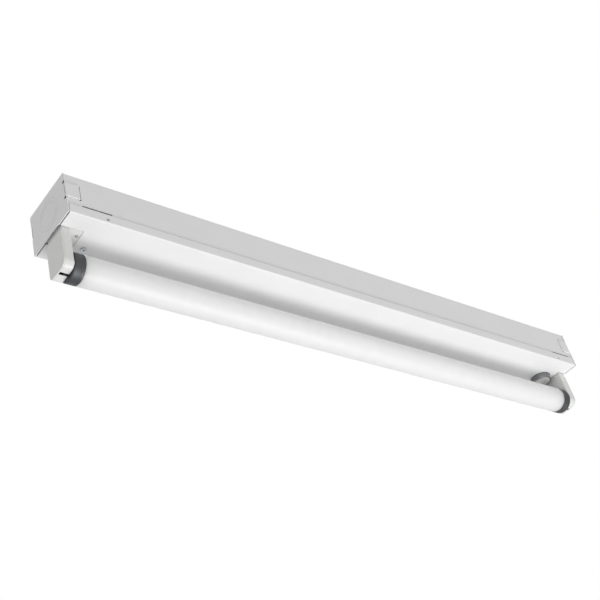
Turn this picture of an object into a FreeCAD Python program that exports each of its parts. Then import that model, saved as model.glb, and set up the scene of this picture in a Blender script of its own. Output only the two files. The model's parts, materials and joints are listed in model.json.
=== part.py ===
import FreeCAD, Part
import math
import os

# Strip light for one straight tube lamp, built the way the real one comes apart.
# A folded steel channel hangs from the ceiling. End plates close it, a pressed cover
# closes it from below, and a lampholder stands down at each end and carries the lamp.
# Frame: millimetres, X along the lamp, +Z up, the ceiling at z = 0, everything below it.
# A place along X is often given as a depth, measured inwards from one end of the light.
# The left end is at minus X.

LEFT = -1
RIGHT = 1
ENDS = {"left": LEFT, "right": RIGHT}
SIDES = (-1, 1)

# Overall size
light_length = 612.0
light_width = 57.0
light_height = 42.5

# Steel sheet, gaps and the one overrun that serves all cuts
sheet = 0.8
sliding_gap = 0.1
running_gap = 0.08
parting_gap = 0.3
pin_gap = 0.2
rivet_gap = 0.05
overrun = 5.0
bend_radius = 1.2

# How nearly parallel to an axis an edge counts as lying along it
parallel_share = 0.999

# Channel
ceiling_slot_spacing = 400.0
ceiling_slot_length = 12.0
ceiling_slot_radius = 2.75
score_radius = 11.1
score_width = 0.5
score_depth = 0.18
score_bridge = 3.0
back_knockout_depth = 46.0

# End plate, with a tab each side that hooks into a slot in the channel
tab_height = 14.6
tab_middle_depth = 17.8
tab_length = 11.4
tab_slot_play = 0.1
tab_slot_room = 1.6
tab_slot_height = 16.6
tab_hook = 1.3
relief_radius = 1.3
relief_inset = 1.9
wall_relief_radius = 0.9
fold_slit_height = 10.4
fold_slit_width = 0.9
plate_corner = 2.0
plate_score_radius = 14.1
top_flange_length = 12.0
top_flange_half_width = 20.0
holder_window_height = 0.8
rivet_radius = 1.5
rivet_head_radius = 2.8
rivet_head_height = 1.0
rivet_depth = 7.0
rivet_offset = 14.0

# Cover
cover_flange = 9.5
cover_end_gap = 1.0
cover_notch_gap = 0.3
pry_slot_start = {LEFT: 14.0, RIGHT: 6.5}
pry_slot_length = 26.5
pry_slot_show = 2.2
pry_slot_behind = 0.6
fixing_depth = {LEFT: 35.4, RIGHT: 27.6}
fixing_above_edge = 3.9
fixing_hole_radius = 1.4
pilot_hole_radius = 1.2

# Cover screw
screw_depth = 31.5
screw_offset = 6.0
screw_radius = 1.45
screw_head_radius = 2.9
screw_head_height = 1.8
screw_length = 6.0
screw_slot_width = 0.8
screw_slot_depth = 0.9
screw_seat_gap = 0.1
screw_collar_radius = 3.0
screw_collar_height = 2.5

# Lampholder bracket, spot welded inside each end of the channel
bracket_gap = 0.5
bracket_past_screw = 4.0
bracket_short_length = 13.6
bracket_leg_height = 10.4
bracket_leg_half_width = 18.0
bracket_ear_height = 7.4
bracket_ear_start = 2.0
bracket_ear_margin = 2.5

# Lampholder
lamp_axis_drop = 30.9
holder_half_width = 11.7
holder_lower_half_width = 12.0
holder_depth = {LEFT: 1.4, RIGHT: 2.6}
holder_back_thickness = 1.2
holder_thickness = 9.0
holder_below_axis = 8.6
holder_shoulder_gap = 0.4
holder_back_drop = 3.2
holder_top_recess = 2.5
holder_corner = 4.5
holder_side_corner = 1.2
foot_length = {LEFT: 22.0, RIGHT: 12.6}
foot_thickness = 1.2
foot_overhang = 0.1
neck_half_width = 10.2
neck_behind = 0.4
neck_inset = 1.2
neck_height = 5.2
neck_gap = 0.3
barb_reach = 0.8
barb_height = 1.7
barb_inset = 1.0
chamber_wall = 1.5
shaft_half_width = 8.45
pin_slot_half_width = 1.5
foot_rivet_depth = 19.3
foot_rivet_offset = 5.0
foot_rivet_radius = 1.2
foot_rivet_head_radius = 1.6
foot_rivet_head_height = 0.4

# Rotor, which the lamp's pins turn
rotor_radius = 7.9
rotor_thickness = 3.4
rotor_recess = 0.2
rotor_web_thickness = 1.2
rotor_web_radius = 4.9
rotor_stub_radius = 2.0
rotor_stub_wall = 2.0
rotor_end_gap = 0.4
rotor_boss_gap = 1.2

# Contact blades in the lampholder
blade_thickness = 0.4
blade_gap = 0.43
blade_width = 3.3
blade_below_axis = 3.0
blade_above_neck = 0.4

# Lamp
lamp_glass_radius = 12.7
lamp_glass_wall = 0.8
lamp_neck_past_cap = 0.5
lamp_neck_slope = 1.2
lamp_face_gap = 0.3
cap_radius = 12.75
cap_wall = 0.3
cap_clearance = 0.05
cap_length = 9.5
cap_face_thickness = 0.6
cap_corner = 0.8
cap_crimp_width = 0.9
cap_crimp_depth = 0.12
cap_crimp_place = 6.6
insulator_radius = 9.0
insulator_thickness = 2.0
insulator_gap = 0.05
lamp_pin_radius = 1.175
lamp_pin_spacing = 12.7
lamp_pin_length = 7.2
lamp_pin_inside = 3.4
lamp_pin_tip = 0.5
glass_inset = 0.9
stem_inset = 2.6
stem_flange = 1.5
stem_radius = 4.0
stem_length = 18.0
cathode_wire_radius = 0.4
cathode_wire_length = 9.0
cathode_wire_spread = 4.5
cathode_wire_root = 2.0
cathode_coil_radius = 0.7

# Starter and its socket
starter_depth = 25.2
starter_offset = 3.6
starter_radius = 10.5
starter_hole_gap = 0.4
starter_proud = 6.0
starter_can_height = 31.5
starter_can_wall = 0.5
starter_can_corner = 1.2
starter_base_height = 3.5
starter_pin_radius = 1.4
starter_pin_head_radius = 2.2
starter_pin_head_height = 2.0
starter_pin_height = 4.8
starter_pin_spacing = 12.7
starter_turn = 45.0
starter_bulb_radius = 3.6
starter_bulb_height = 18.0
starter_bulb_offset = 3.6
starter_capacitor_radius = 2.4
starter_capacitor_height = 12.0
starter_capacitor_offset = 5.6
starter_part_gap = 0.4
socket_before = 15.0
socket_after = 11.5
socket_half_width = 12.0
socket_floor = 2.0
socket_cavity_outer = 9.4
socket_cavity_inner = 3.4
socket_roof = 1.8
socket_entry_radius = 2.7
socket_contact_width = 4.6
socket_contact_thickness = 0.4
socket_contact_wall_gap = 0.1
socket_screw_inset = 2.9
socket_screw_radius = 1.2
socket_screw_head_radius = 2.1
socket_screw_head_height = 1.6

# Choke ballast: the coil stands out of the core's ends, then come the terminals and the screws
ballast_x = 40.0
ballast_base_half_width = 20.5
ballast_base_thickness = 1.0
ballast_core_length = 100.0
ballast_core_half_width = 20.0
ballast_core_height = 26.2
ballast_window_half_width = 13.2
ballast_window_top = 4.0
ballast_core_web = 3.8
ballast_lamination_pitch = 2.0
ballast_lamination_depth = 0.3
ballast_coil_overhang = 10.0
ballast_coil_gap = 0.2
ballast_coil_corner = 3.0
ballast_terminal_gap = 3.5
ballast_terminal_length = 5.5
ballast_terminal_half_width = 14.0
ballast_terminal_height = 10.0
ballast_screw_gap = 0.9
ballast_screw_radius = 1.9
ballast_screw_head_radius = 3.5
ballast_screw_head_height = 2.2
ballast_base_margin = 0.1

# Terminal block, cable bushing and earth screw
block_x = -125.0
block_length = 14.0
block_half_width = 13.5
block_height = 12.0
pole_pitch = 8.5
pole_height = 6.0
pole_insert_radius = 2.4
pole_bore_radius = 1.5
pole_insert_short = 1.0
pole_screw_radius = 1.2
pole_screw_spacing = 7.0
pole_screw_sunk = 0.8
pole_well_radius = 1.9
block_screw_offset = 4.25
block_screw_radius = 1.1
block_screw_head_radius = 1.7
block_screw_head_height = 1.2
bushing_x = -160.0
bushing_bore_radius = 6.0
bushing_sleeve_radius = 7.9
bushing_flange_radius = 10.5
bushing_flange_thickness = 1.5
bushing_length = 5.0
earth_x = -85.0
earth_y = 15.0
earth_screw_radius = 1.9
earth_head_radius = 3.2
earth_head_height = 2.2
earth_ring_radius = 3.8
earth_tag_thickness = 0.8
earth_tag_reach = 10.0
earth_tag_half_width = 1.5
earth_barrel_length = 6.0
earth_barrel_radius = 1.6

# Insulated leads inside the channel
lead_radius = 0.95
lead_bend = 7.0
lead_room_share = 0.45
lead_lane_edge = 3.0
lead_lane_top = 1.4
lead_lane_step = 3.2
lead_drop_margin = 3.0
lead_terminal_straight = 8.0

# Derived places and sizes
half_length = light_length / 2
half_width = light_width / 2
channel_half_width = half_width - sheet - sliding_gap
inner_half_width = channel_half_width - sheet
cover_underside = -light_height
cover_inside = cover_underside + sheet
channel_bottom = cover_inside + parting_gap
flange_top = cover_underside + cover_flange
bracket_underside = cover_inside + bracket_gap
bracket_top = bracket_underside + sheet
lamp_z = cover_underside - lamp_axis_drop
holder_bottom = lamp_z - holder_below_axis
block_top = bracket_underside - foot_thickness - holder_shoulder_gap
neck_top = bracket_underside + neck_height
rotor_front = holder_thickness - rotor_recess
rotor_back = rotor_front - rotor_thickness
pocket_floor = rotor_back - parting_gap / 2
lamp_face = holder_thickness + lamp_face_gap
cap_inner_radius = cap_radius - cap_wall
lamp_neck_radius = cap_inner_radius - cap_clearance
lamp_bore_radius = lamp_neck_radius - lamp_glass_wall
pin_offset = lamp_pin_spacing / 2
pin_sweep = pin_offset + lamp_pin_radius
blade_inside = pin_sweep + blade_gap
rotor_slot_half_width = lamp_pin_radius + pin_gap
starter_x = half_length - starter_depth
starter_bottom = cover_underside - starter_proud
starter_can_top = starter_bottom + starter_can_height
starter_base_top = starter_can_top + starter_base_height
starter_pin_top = starter_base_top + starter_pin_height
starter_hole_radius = starter_radius + starter_hole_gap
starter_pin_offset = starter_pin_spacing / 2
socket_bottom = starter_base_top + parting_gap
fixing_z = cover_underside + fixing_above_edge
bracket_length = {LEFT: screw_depth + bracket_past_screw, RIGHT: bracket_short_length}
tab_slot_width = sheet + tab_slot_play + tab_slot_room
ballast_window_height = ballast_core_height - ballast_window_top - ballast_core_web
ballast_coil_length = ballast_core_length + 2 * ballast_coil_overhang
ballast_terminal_place = ballast_coil_length / 2 + ballast_terminal_gap + ballast_terminal_length
ballast_screw_place = ballast_terminal_place + ballast_screw_gap + ballast_screw_head_radius
ballast_base_length = 2 * (ballast_screw_place + ballast_screw_head_radius + ballast_base_margin)
ballast_floor = -sheet - ballast_base_thickness
pole_z = -sheet - pole_height
lane_y = inner_half_width - lead_lane_edge
lane_z = -sheet - lead_lane_top
starter_wire_z = -sheet - socket_roof - lead_terminal_straight / 2


def vec(x, y, z):
    return FreeCAD.Vector(x, y, z)


def box(x0, x1, y0, y1, z0, z1):
    low = vec(min(x0, x1), min(y0, y1), min(z0, z1))
    return Part.makeBox(abs(x1 - x0), abs(y1 - y0), abs(z1 - z0), low)


def at(end, depth):
    # The X place that lies a depth inwards from one end of the light
    return end * (half_length - depth)


def end_box(end, depth0, depth1, y0, y1, z0, z1):
    return box(at(end, depth0), at(end, depth1), y0, y1, z0, z1)


def rod(radius, start, finish):
    axis = finish - start
    return Part.makeCylinder(radius, axis.Length, start, axis)


def upright(radius, x, y, z0, z1):
    return rod(radius, vec(x, y, min(z0, z1)), vec(x, y, max(z0, z1)))


def along(radius, end, depth0, depth1, y, z):
    # A round bar along X between two depths from one end
    return rod(radius, vec(at(end, depth0), y, z), vec(at(end, depth1), y, z))


def holder_x(end, depth):
    # The X place that lies a depth inwards from the back of one end's lampholder
    return at(end, holder_depth[end] + depth)


def holder_box(end, depth0, depth1, y0, y1, z0, z1):
    return box(holder_x(end, depth0), holder_x(end, depth1), y0, y1, z0, z1)


def holder_rod(radius, end, depth0, depth1, y):
    # A round bar along X at the lamp axis's height, between two depths in one lampholder
    return rod(radius, vec(holder_x(end, depth0), y, lamp_z), vec(holder_x(end, depth1), y, lamp_z))


def across(radius, x, z, y0, y1):
    return rod(radius, vec(x, y0, z), vec(x, y1, z))


def fuse(first, *others):
    return first.multiFuse(list(others)).removeSplitter()


def cut(base, *tools):
    return base.cut(list(tools))


def round_edges(shape, wanted):
    # The circular edges whose middle the test wants
    return [edge for edge in shape.Edges
            if edge.Curve.TypeId == "Part::GeomCircle" and wanted(edge.CenterOfMass)]


def rounded(shape, radius, axis, wanted):
    # Rounds the straight edges along one axis whose middle the test wants
    edges = []
    for edge in shape.Edges:
        if edge.Curve.TypeId != "Part::GeomLine":
            continue
        line = edge.Vertexes[-1].Point - edge.Vertexes[0].Point
        if abs(line.dot(axis)) > parallel_share * line.Length and wanted(edge.CenterOfMass):
            edges.append(edge)
    return shape.makeFillet(radius, edges)


X_AXIS = vec(1, 0, 0)
Y_AXIS = vec(0, 1, 0)
Z_AXIS = vec(0, 0, 1)


def ring(outer, inner, centre, axis, length):
    tube = Part.makeCylinder(outer, length, centre, axis)
    return tube.cut(Part.makeCylinder(inner, length, centre, axis))


def score(radius, centre, axis, bridge_axis):
    # The shallow groove round a knockout, left whole at two bridges
    groove = ring(radius + score_width / 2, radius - score_width / 2, centre, axis, score_depth)
    reach = radius + overrun
    bridge = rod(score_bridge / 2, centre - bridge_axis * reach, centre + bridge_axis * reach)
    return groove.cut(bridge)


def folded_tray(half_x, outer_y, z_floor, z_open, wall):
    # A sheet folded into a U along X, its floor at z_floor and its mouth at z_open
    inwards = wall if z_open > z_floor else -wall
    outer = box(-half_x, half_x, -outer_y, outer_y, z_floor, z_open)
    outer = rounded(outer, bend_radius, X_AXIS, lambda p: abs(p.z - z_floor) < wall)
    inner = box(-half_x - overrun, half_x + overrun, wall - outer_y, outer_y - wall,
                z_floor + inwards, z_open + inwards * overrun)
    inner = rounded(inner, bend_radius - wall, X_AXIS, lambda p: abs(p.z - z_floor) < 2 * wall)
    return outer.cut(inner)


def ceiling_slots():
    slots = []
    run = ceiling_slot_length / 2 - ceiling_slot_radius
    for side in SIDES:
        x = side * ceiling_slot_spacing / 2
        slots.append(box(x - run, x + run, -ceiling_slot_radius, ceiling_slot_radius,
                         -sheet - overrun, overrun))
        for tip in SIDES:
            slots.append(upright(ceiling_slot_radius, x + tip * run, 0,
                                 -sheet - overrun, overrun))
    return slots


def back_hole(radius, x, y):
    return upright(radius, x, y, -sheet - overrun, overrun)


def back_holes():
    holes = [back_hole(bushing_sleeve_radius + rivet_gap, bushing_x, 0)]
    holes.append(back_hole(earth_screw_radius + rivet_gap, earth_x, earth_y))
    holes.append(back_hole(block_screw_radius + rivet_gap, block_x, block_screw_offset))
    holes.append(back_hole(socket_screw_radius + rivet_gap, socket_screw_x(), starter_offset))
    for side in SIDES:
        x = ballast_x + side * ballast_screw_place
        holes.append(back_hole(ballast_screw_radius + rivet_gap, x, 0))
    for end in ENDS.values():
        for side in SIDES:
            holes.append(back_hole(rivet_radius + rivet_gap, at(end, rivet_depth),
                                   side * rivet_offset))
    return holes


def side_cuts(end, side):
    # Slots and holes near one end of one side wall of the channel
    y0 = side * (inner_half_width - overrun)
    y1 = side * (channel_half_width + overrun)
    slot_z = -tab_middle_depth
    # Both slots leave their room to the right of the hook, so that the plates go on one way
    slot_x = min(at(end, tab_length), at(end, tab_length + sheet)) - tab_slot_play
    tab_slot = box(slot_x, slot_x + tab_slot_width, y0, y1,
                   slot_z - tab_slot_height / 2, slot_z + tab_slot_height / 2)
    start = pry_slot_start[end]
    pry_slot = end_box(end, start, start + pry_slot_length, y0, y1,
                       flange_top - pry_slot_behind, flange_top + pry_slot_show)
    pilot = across(pilot_hole_radius, at(end, fixing_depth[end]), fixing_z, y0, y1)
    reliefs = [end_box(end, 0, sheet + fold_slit_width, y0, y1,
                       slot_z - fold_slit_height / 2, slot_z + fold_slit_height / 2)]
    for step in SIDES:
        z = slot_z + step * tab_slot_height / 2
        reliefs.append(across(wall_relief_radius, at(end, sheet), z, y0, y1))
    return [tab_slot, pry_slot, pilot] + reliefs


def channel():
    shape = folded_tray(half_length - sheet, channel_half_width, 0, channel_bottom, sheet)
    tools = ceiling_slots() + back_holes()
    for end in ENDS.values():
        for side in SIDES:
            tools += side_cuts(end, side)
        centre = vec(at(end, back_knockout_depth), 0, -score_depth)
        tools.append(score(score_radius, centre, Z_AXIS, X_AXIS))
    return cut(shape, *tools)


def end_tab(end, side):
    # The tab wraps the channel's corner and its hook drops into the slot
    z0 = -tab_middle_depth - tab_height / 2
    z1 = -tab_middle_depth + tab_height / 2
    inside = side * (half_width - sheet)
    outside = side * half_width
    arm = end_box(end, 0, tab_length + sheet, inside, outside, z0, z1)
    root = end_box(end, 0, sheet, side * inner_half_width, outside, z0, z1)
    hook = end_box(end, tab_length, tab_length + sheet,
                   side * (channel_half_width - tab_hook), outside, z0, z1)
    tab = fuse(arm, root, hook)
    corner = at(end, 0)
    near = sheet / 2
    return rounded(tab, sheet, Z_AXIS,
                   lambda p: abs(p.x - corner) < near and abs(abs(p.y) - half_width) < near)


def tab_cut(end, side, near_y, far_y, height):
    # A cut through the plate at the tab's height, between two places across it
    return end_box(end, -overrun, sheet + sliding_gap, side * near_y, side * far_y,
                   -tab_middle_depth - height / 2, -tab_middle_depth + height / 2)


def end_plate(end):
    plate = end_box(end, 0, sheet, -half_width, half_width, cover_underside, 0)
    plate = rounded(plate, plate_corner, X_AXIS, lambda p: p.z > -sheet)
    plate = cut(plate, *[tab_cut(end, side, channel_half_width, half_width + overrun, tab_height)
                         for side in SIDES])
    flange = end_box(end, 0, top_flange_length, -top_flange_half_width, top_flange_half_width,
                     -2 * sheet, -sheet)
    shape = fuse(plate, flange, end_tab(end, -1), end_tab(end, 1))
    window = end_box(end, -overrun, sheet + overrun, -holder_half_width - cover_notch_gap,
                     holder_half_width + cover_notch_gap, cover_underside - overrun,
                     cover_underside + holder_window_height)
    tools = [window]
    middle = cover_underside / 2
    face = vec(at(end, score_depth), 0, middle)
    outwards = X_AXIS * end
    for radius in (score_radius, plate_score_radius):
        tools.append(score(radius, face, outwards, Y_AXIS))
    for side in SIDES:
        # A slit beside the tab's fold makes it easy to bend, and a hole stands past each end
        tools.append(tab_cut(end, side, half_width - sheet - fold_slit_width, half_width - sheet,
                             fold_slit_height))
        for step in SIDES:
            z = -tab_middle_depth + step * tab_slot_height / 2
            tools.append(along(relief_radius, end, -overrun, 2 * sheet,
                               side * (half_width - relief_inset), z))
        tools.append(upright(rivet_radius + rivet_gap, at(end, rivet_depth),
                             side * rivet_offset, -2 * sheet - overrun, overrun))
    return cut(shape, *tools)


def pan_head_rivet(radius, head_radius, head_height, x, y, head_z, far_z):
    # A rivet with a domed head below head_z and a plain shank up to far_z
    shank = upright(radius, x, y, head_z, far_z)
    head = upright(head_radius, x, y, head_z - head_height, head_z)
    rim = round_edges(head, lambda p: p.z < head_z - head_height / 2)
    head = head.makeFillet(head_height / 2, rim)
    return fuse(shank, head)


def end_plate_rivets():
    solids = []
    for end in ENDS.values():
        for side in SIDES:
            solids.append(pan_head_rivet(rivet_radius, rivet_head_radius, rivet_head_height,
                                         at(end, rivet_depth), side * rivet_offset, -2 * sheet, 0))
    return Part.makeCompound(solids)


def holder_bracket(name):
    end = ENDS[name]
    length = bracket_length[end]
    inside = inner_half_width
    plate = end_box(end, sheet, length, -inside, inside, bracket_underside, bracket_top)
    leg = end_box(end, sheet, 2 * sheet, -bracket_leg_half_width, bracket_leg_half_width,
                  bracket_underside, bracket_top + bracket_leg_height)
    pieces = [leg]
    for side in SIDES:
        pieces.append(end_box(end, bracket_ear_start, length - bracket_ear_margin,
                              side * (inside - sheet), side * inside,
                              bracket_underside, bracket_top + bracket_ear_height))
    if name == "left":
        pieces.append(upright(screw_collar_radius, at(end, screw_depth), screw_offset,
                              bracket_underside, bracket_top + screw_collar_height))
    shape = fuse(plate, *pieces)
    neck = holder_box(end, holder_back_thickness + neck_behind - neck_gap,
                      holder_thickness - neck_inset + neck_gap,
                      -neck_half_width - neck_gap, neck_half_width + neck_gap,
                      bracket_underside - overrun, bracket_top + overrun)
    tools = [neck]
    if name == "left":
        tools.append(upright(screw_radius + running_gap, at(end, screw_depth), screw_offset,
                             bracket_underside - overrun, bracket_top + overrun))
        for side in SIDES:
            tools.append(upright(foot_rivet_radius + rivet_gap, at(end, foot_rivet_depth),
                                 side * foot_rivet_offset, bracket_underside - overrun,
                                 bracket_top + overrun))
    return cut(shape, *tools)


def holder_slab(end, depth0, depth1, top, inset):
    # A slab as wide as the lampholder, inset all round. Its sides lean out on the way down
    low = holder_bottom + inset
    upper = holder_half_width - inset
    lower = holder_lower_half_width - inset
    x = holder_x(end, depth0)
    corners = [vec(x, -upper, top), vec(x, upper, top), vec(x, lower, low), vec(x, -lower, low)]
    face = Part.Face(Part.makePolygon(corners + corners[:1]))
    return face.extrude(vec(holder_x(end, depth1) - x, 0, 0))


def holder_outline(end, depth0, depth1, top, inset):
    # The same slab with its lower corners round
    slab = holder_slab(end, depth0, depth1, top, inset)
    return rounded(slab, holder_corner - inset, X_AXIS, lambda p: p.z < lamp_z)


def lampholder_body(name):
    end = ENDS[name]
    face_x = holder_x(end, holder_thickness)
    slab = holder_slab(end, holder_back_thickness, holder_thickness, block_top, 0)
    slab = rounded(slab, holder_side_corner, Z_AXIS, lambda p: abs(p.x - face_x) < sheet)
    block = slab.common(holder_outline(end, holder_back_thickness, holder_thickness, block_top, 0))
    foot_half = holder_half_width + foot_overhang
    foot = box(holder_x(end, holder_back_thickness + neck_behind), at(end, foot_length[end]),
               -foot_half, foot_half, bracket_underside - foot_thickness, bracket_underside)
    neck = holder_box(end, holder_back_thickness + neck_behind, holder_thickness - neck_inset,
                      -neck_half_width, neck_half_width, block_top - holder_side_corner, neck_top)
    pieces = [foot, neck]
    barb_end = holder_thickness - neck_inset - barb_inset
    for side in SIDES:
        # A barb that holds the neck above the bracket
        pieces.append(holder_box(end, holder_back_thickness + barb_inset, barb_end,
                                 side * (neck_half_width - barb_inset),
                                 side * (neck_half_width + barb_reach),
                                 bracket_top + sliding_gap, bracket_top + sliding_gap + barb_height))
    shape = fuse(block, *pieces)
    pocket = holder_rod(rotor_radius + running_gap, end, holder_back_thickness - overrun,
                        holder_thickness + overrun, 0)
    chamber = holder_outline(end, holder_back_thickness - overrun, pocket_floor,
                             block_top - chamber_wall, chamber_wall)
    shaft = holder_box(end, holder_back_thickness - overrun, pocket_floor, -shaft_half_width,
                       shaft_half_width, lamp_z, neck_top + overrun)
    pin_slot = holder_box(end, holder_back_thickness - overrun, holder_thickness + overrun,
                          -pin_slot_half_width, pin_slot_half_width, holder_bottom - overrun, lamp_z)
    # Above the back's top edge the body stands open behind, where the leads come in
    recess = holder_box(end, holder_back_thickness - overrun, holder_back_thickness + holder_top_recess,
                        chamber_wall - holder_half_width, holder_half_width - chamber_wall,
                        block_top - 2 * chamber_wall, block_top + holder_shoulder_gap)
    tools = [pocket, chamber, shaft, pin_slot, recess]
    if name == "left":
        for side in SIDES:
            tools.append(upright(foot_rivet_radius + rivet_gap, at(end, foot_rivet_depth),
                                 side * foot_rivet_offset, block_top - overrun,
                                 bracket_underside + overrun))
    return cut(shape, *tools)


def lampholder_back(name):
    # The back closes the holder and carries the ring that the rotor's stub turns in. It stops
    # short of the top, where the leads come in
    end = ENDS[name]
    plate = holder_outline(end, 0, holder_back_thickness, block_top - holder_back_drop, 0)
    boss = holder_rod(rotor_stub_radius + running_gap + rotor_stub_wall, end, 0,
                      rotor_back - rotor_boss_gap, 0)
    bore = holder_rod(rotor_stub_radius + running_gap, end, holder_back_thickness,
                      rotor_back + overrun, 0)
    return cut(fuse(plate, boss), bore)


def lampholder_rotor(name):
    end = ENDS[name]
    disc = holder_rod(rotor_radius, end, rotor_back, rotor_front, 0)
    groove = holder_box(end, rotor_back - overrun, rotor_front + overrun, -rotor_radius - overrun,
                        rotor_radius + overrun, lamp_z - rotor_slot_half_width,
                        lamp_z + rotor_slot_half_width)
    web = holder_rod(rotor_web_radius, end, rotor_back, rotor_back + rotor_web_thickness, 0)
    stub = holder_rod(rotor_stub_radius, end, holder_back_thickness + rotor_end_gap, rotor_back, 0)
    return fuse(disc.cut(groove), web, stub)


def blade_depths():
    start = holder_back_thickness + rotor_end_gap
    return start, start + blade_width


def blade_top():
    return neck_top + blade_above_neck


def lampholder_contacts(name):
    end = ENDS[name]
    depth0, depth1 = blade_depths()
    solids = []
    for side in SIDES:
        solids.append(holder_box(end, depth0, depth1, side * blade_inside,
                                 side * (blade_inside + blade_thickness),
                                 lamp_z - blade_below_axis, blade_top()))
    return Part.makeCompound(solids)


def lampholder_rivets():
    solids = []
    x = at(LEFT, foot_rivet_depth)
    for side in SIDES:
        y = side * foot_rivet_offset
        rivet = pan_head_rivet(foot_rivet_radius, foot_rivet_head_radius, foot_rivet_head_height,
                               x, y, bracket_underside - foot_thickness, bracket_top)
        tail = upright(foot_rivet_head_radius, x, y, bracket_top,
                       bracket_top + foot_rivet_head_height)
        solids.append(fuse(rivet, tail))
    return Part.makeCompound(solids)


def cover_cuts():
    y_notch = holder_half_width + foot_overhang + cover_notch_gap
    tools = []
    for end in ENDS.values():
        tools.append(end_box(end, -overrun, foot_length[end] + cover_notch_gap, -y_notch, y_notch,
                             cover_underside - overrun, cover_inside + overrun / 2))
        for side in SIDES:
            tools.append(across(fixing_hole_radius, at(end, fixing_depth[end]), fixing_z,
                                side * (inner_half_width - overrun), side * (half_width + overrun)))
    tools.append(upright(starter_hole_radius, starter_x, starter_offset,
                         cover_underside - overrun, cover_inside + overrun / 2))
    tools.append(upright(screw_radius + parting_gap, at(LEFT, screw_depth), screw_offset,
                         cover_underside - overrun, cover_inside + overrun / 2))
    return tools


def channel_cover():
    half = half_length - sheet - cover_end_gap
    shape = folded_tray(half, half_width, cover_underside, flange_top, sheet)
    return cut(shape, *cover_cuts())


def slotted_screw(x, y, head_z, radius, head_radius, head_height, length):
    # A pan head screw driven upwards, its head's flat side at head_z
    screw = pan_head_rivet(radius, head_radius, head_height, x, y, head_z, head_z + length)
    low = head_z - head_height
    slot_depth = min(screw_slot_depth, head_height / 2)
    slot = box(x - head_radius - overrun, x + head_radius + overrun, y - screw_slot_width / 2,
               y + screw_slot_width / 2, low - overrun, low + slot_depth)
    return screw.cut(slot)


def cover_screw():
    return slotted_screw(at(LEFT, screw_depth), screw_offset, cover_underside - screw_seat_gap,
                         screw_radius, screw_head_radius, screw_head_height, screw_length)


def lamp_glass():
    # A tube drawn in a little at each end, where the cap goes on
    start = holder_x(LEFT, lamp_face + glass_inset)
    finish = holder_x(RIGHT, lamp_face + glass_inset)
    neck = cap_length + lamp_neck_past_cap
    left = holder_x(LEFT, lamp_face + neck)
    right = holder_x(RIGHT, lamp_face + neck)
    tube = rod(lamp_glass_radius, vec(left + lamp_neck_slope, 0, lamp_z),
               vec(right - lamp_neck_slope, 0, lamp_z))
    necks = [rod(lamp_neck_radius, vec(start, 0, lamp_z), vec(finish, 0, lamp_z)),
             Part.makeCone(lamp_neck_radius, lamp_glass_radius, lamp_neck_slope,
                           vec(left, 0, lamp_z), X_AXIS),
             Part.makeCone(lamp_neck_radius, lamp_glass_radius, lamp_neck_slope,
                           vec(right, 0, lamp_z), -X_AXIS)]
    bore = rod(lamp_bore_radius, vec(start - overrun, 0, lamp_z), vec(finish + overrun, 0, lamp_z))
    wide_bore = rod(lamp_glass_radius - lamp_glass_wall, vec(left + lamp_neck_slope, 0, lamp_z),
                    vec(right - lamp_neck_slope, 0, lamp_z))
    return cut(fuse(tube, *necks), bore, wide_bore)


def lamp_cap(end):
    shell = holder_rod(cap_radius, end, lamp_face, lamp_face + cap_length, 0)
    edge_x = holder_x(end, lamp_face)
    rim = round_edges(shell, lambda p: abs(p.x - edge_x) < cap_wall)
    shell = shell.makeFillet(cap_corner, rim)
    hollow = holder_rod(cap_inner_radius, end, lamp_face + cap_face_thickness,
                        lamp_face + cap_length + overrun, 0)
    window = holder_rod(insulator_radius + insulator_gap, end, lamp_face - overrun,
                        lamp_face + overrun, 0)
    crimp_x = holder_x(end, lamp_face + cap_crimp_place)
    crimp = ring(cap_radius + overrun, cap_radius - cap_crimp_depth,
                 vec(crimp_x - cap_crimp_width / 2, 0, lamp_z), X_AXIS, cap_crimp_width)
    return cut(shell, hollow, window, crimp)


def lamp_cap_insulator(end):
    disc = holder_rod(insulator_radius, end, lamp_face, lamp_face + insulator_thickness, 0)
    holes = [holder_rod(lamp_pin_radius + rivet_gap, end, lamp_face - overrun, lamp_face + overrun,
                        side * pin_offset) for side in SIDES]
    return cut(disc, *holes)


def lamp_pins(end):
    solids = []
    tip_x = holder_x(end, lamp_face - lamp_pin_length)
    for side in SIDES:
        pin = holder_rod(lamp_pin_radius, end, lamp_face - lamp_pin_length,
                         lamp_face + lamp_pin_inside, side * pin_offset)
        tip = round_edges(pin, lambda p: abs(p.x - tip_x) < lamp_pin_tip)
        solids.append(pin.makeFillet(lamp_pin_tip, tip))
    return Part.makeCompound(solids)


def lamp_stem(end):
    start = lamp_face + stem_inset
    flange = holder_rod(lamp_bore_radius - insulator_gap, end, start, start + stem_flange, 0)
    neck = holder_rod(stem_radius, end, start, start + stem_length, 0)
    stem = fuse(flange, neck)
    holes = []
    for side in SIDES:
        holes.append(holder_rod(lamp_pin_radius + rivet_gap, end, start - overrun,
                                lamp_face + lamp_pin_inside + insulator_gap, side * pin_offset))
        holes.append(holder_rod(cathode_wire_radius, end, start + stem_length - cathode_wire_root,
                                start + stem_length + overrun, side * stem_radius / 2))
    return cut(stem, *holes)


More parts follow.
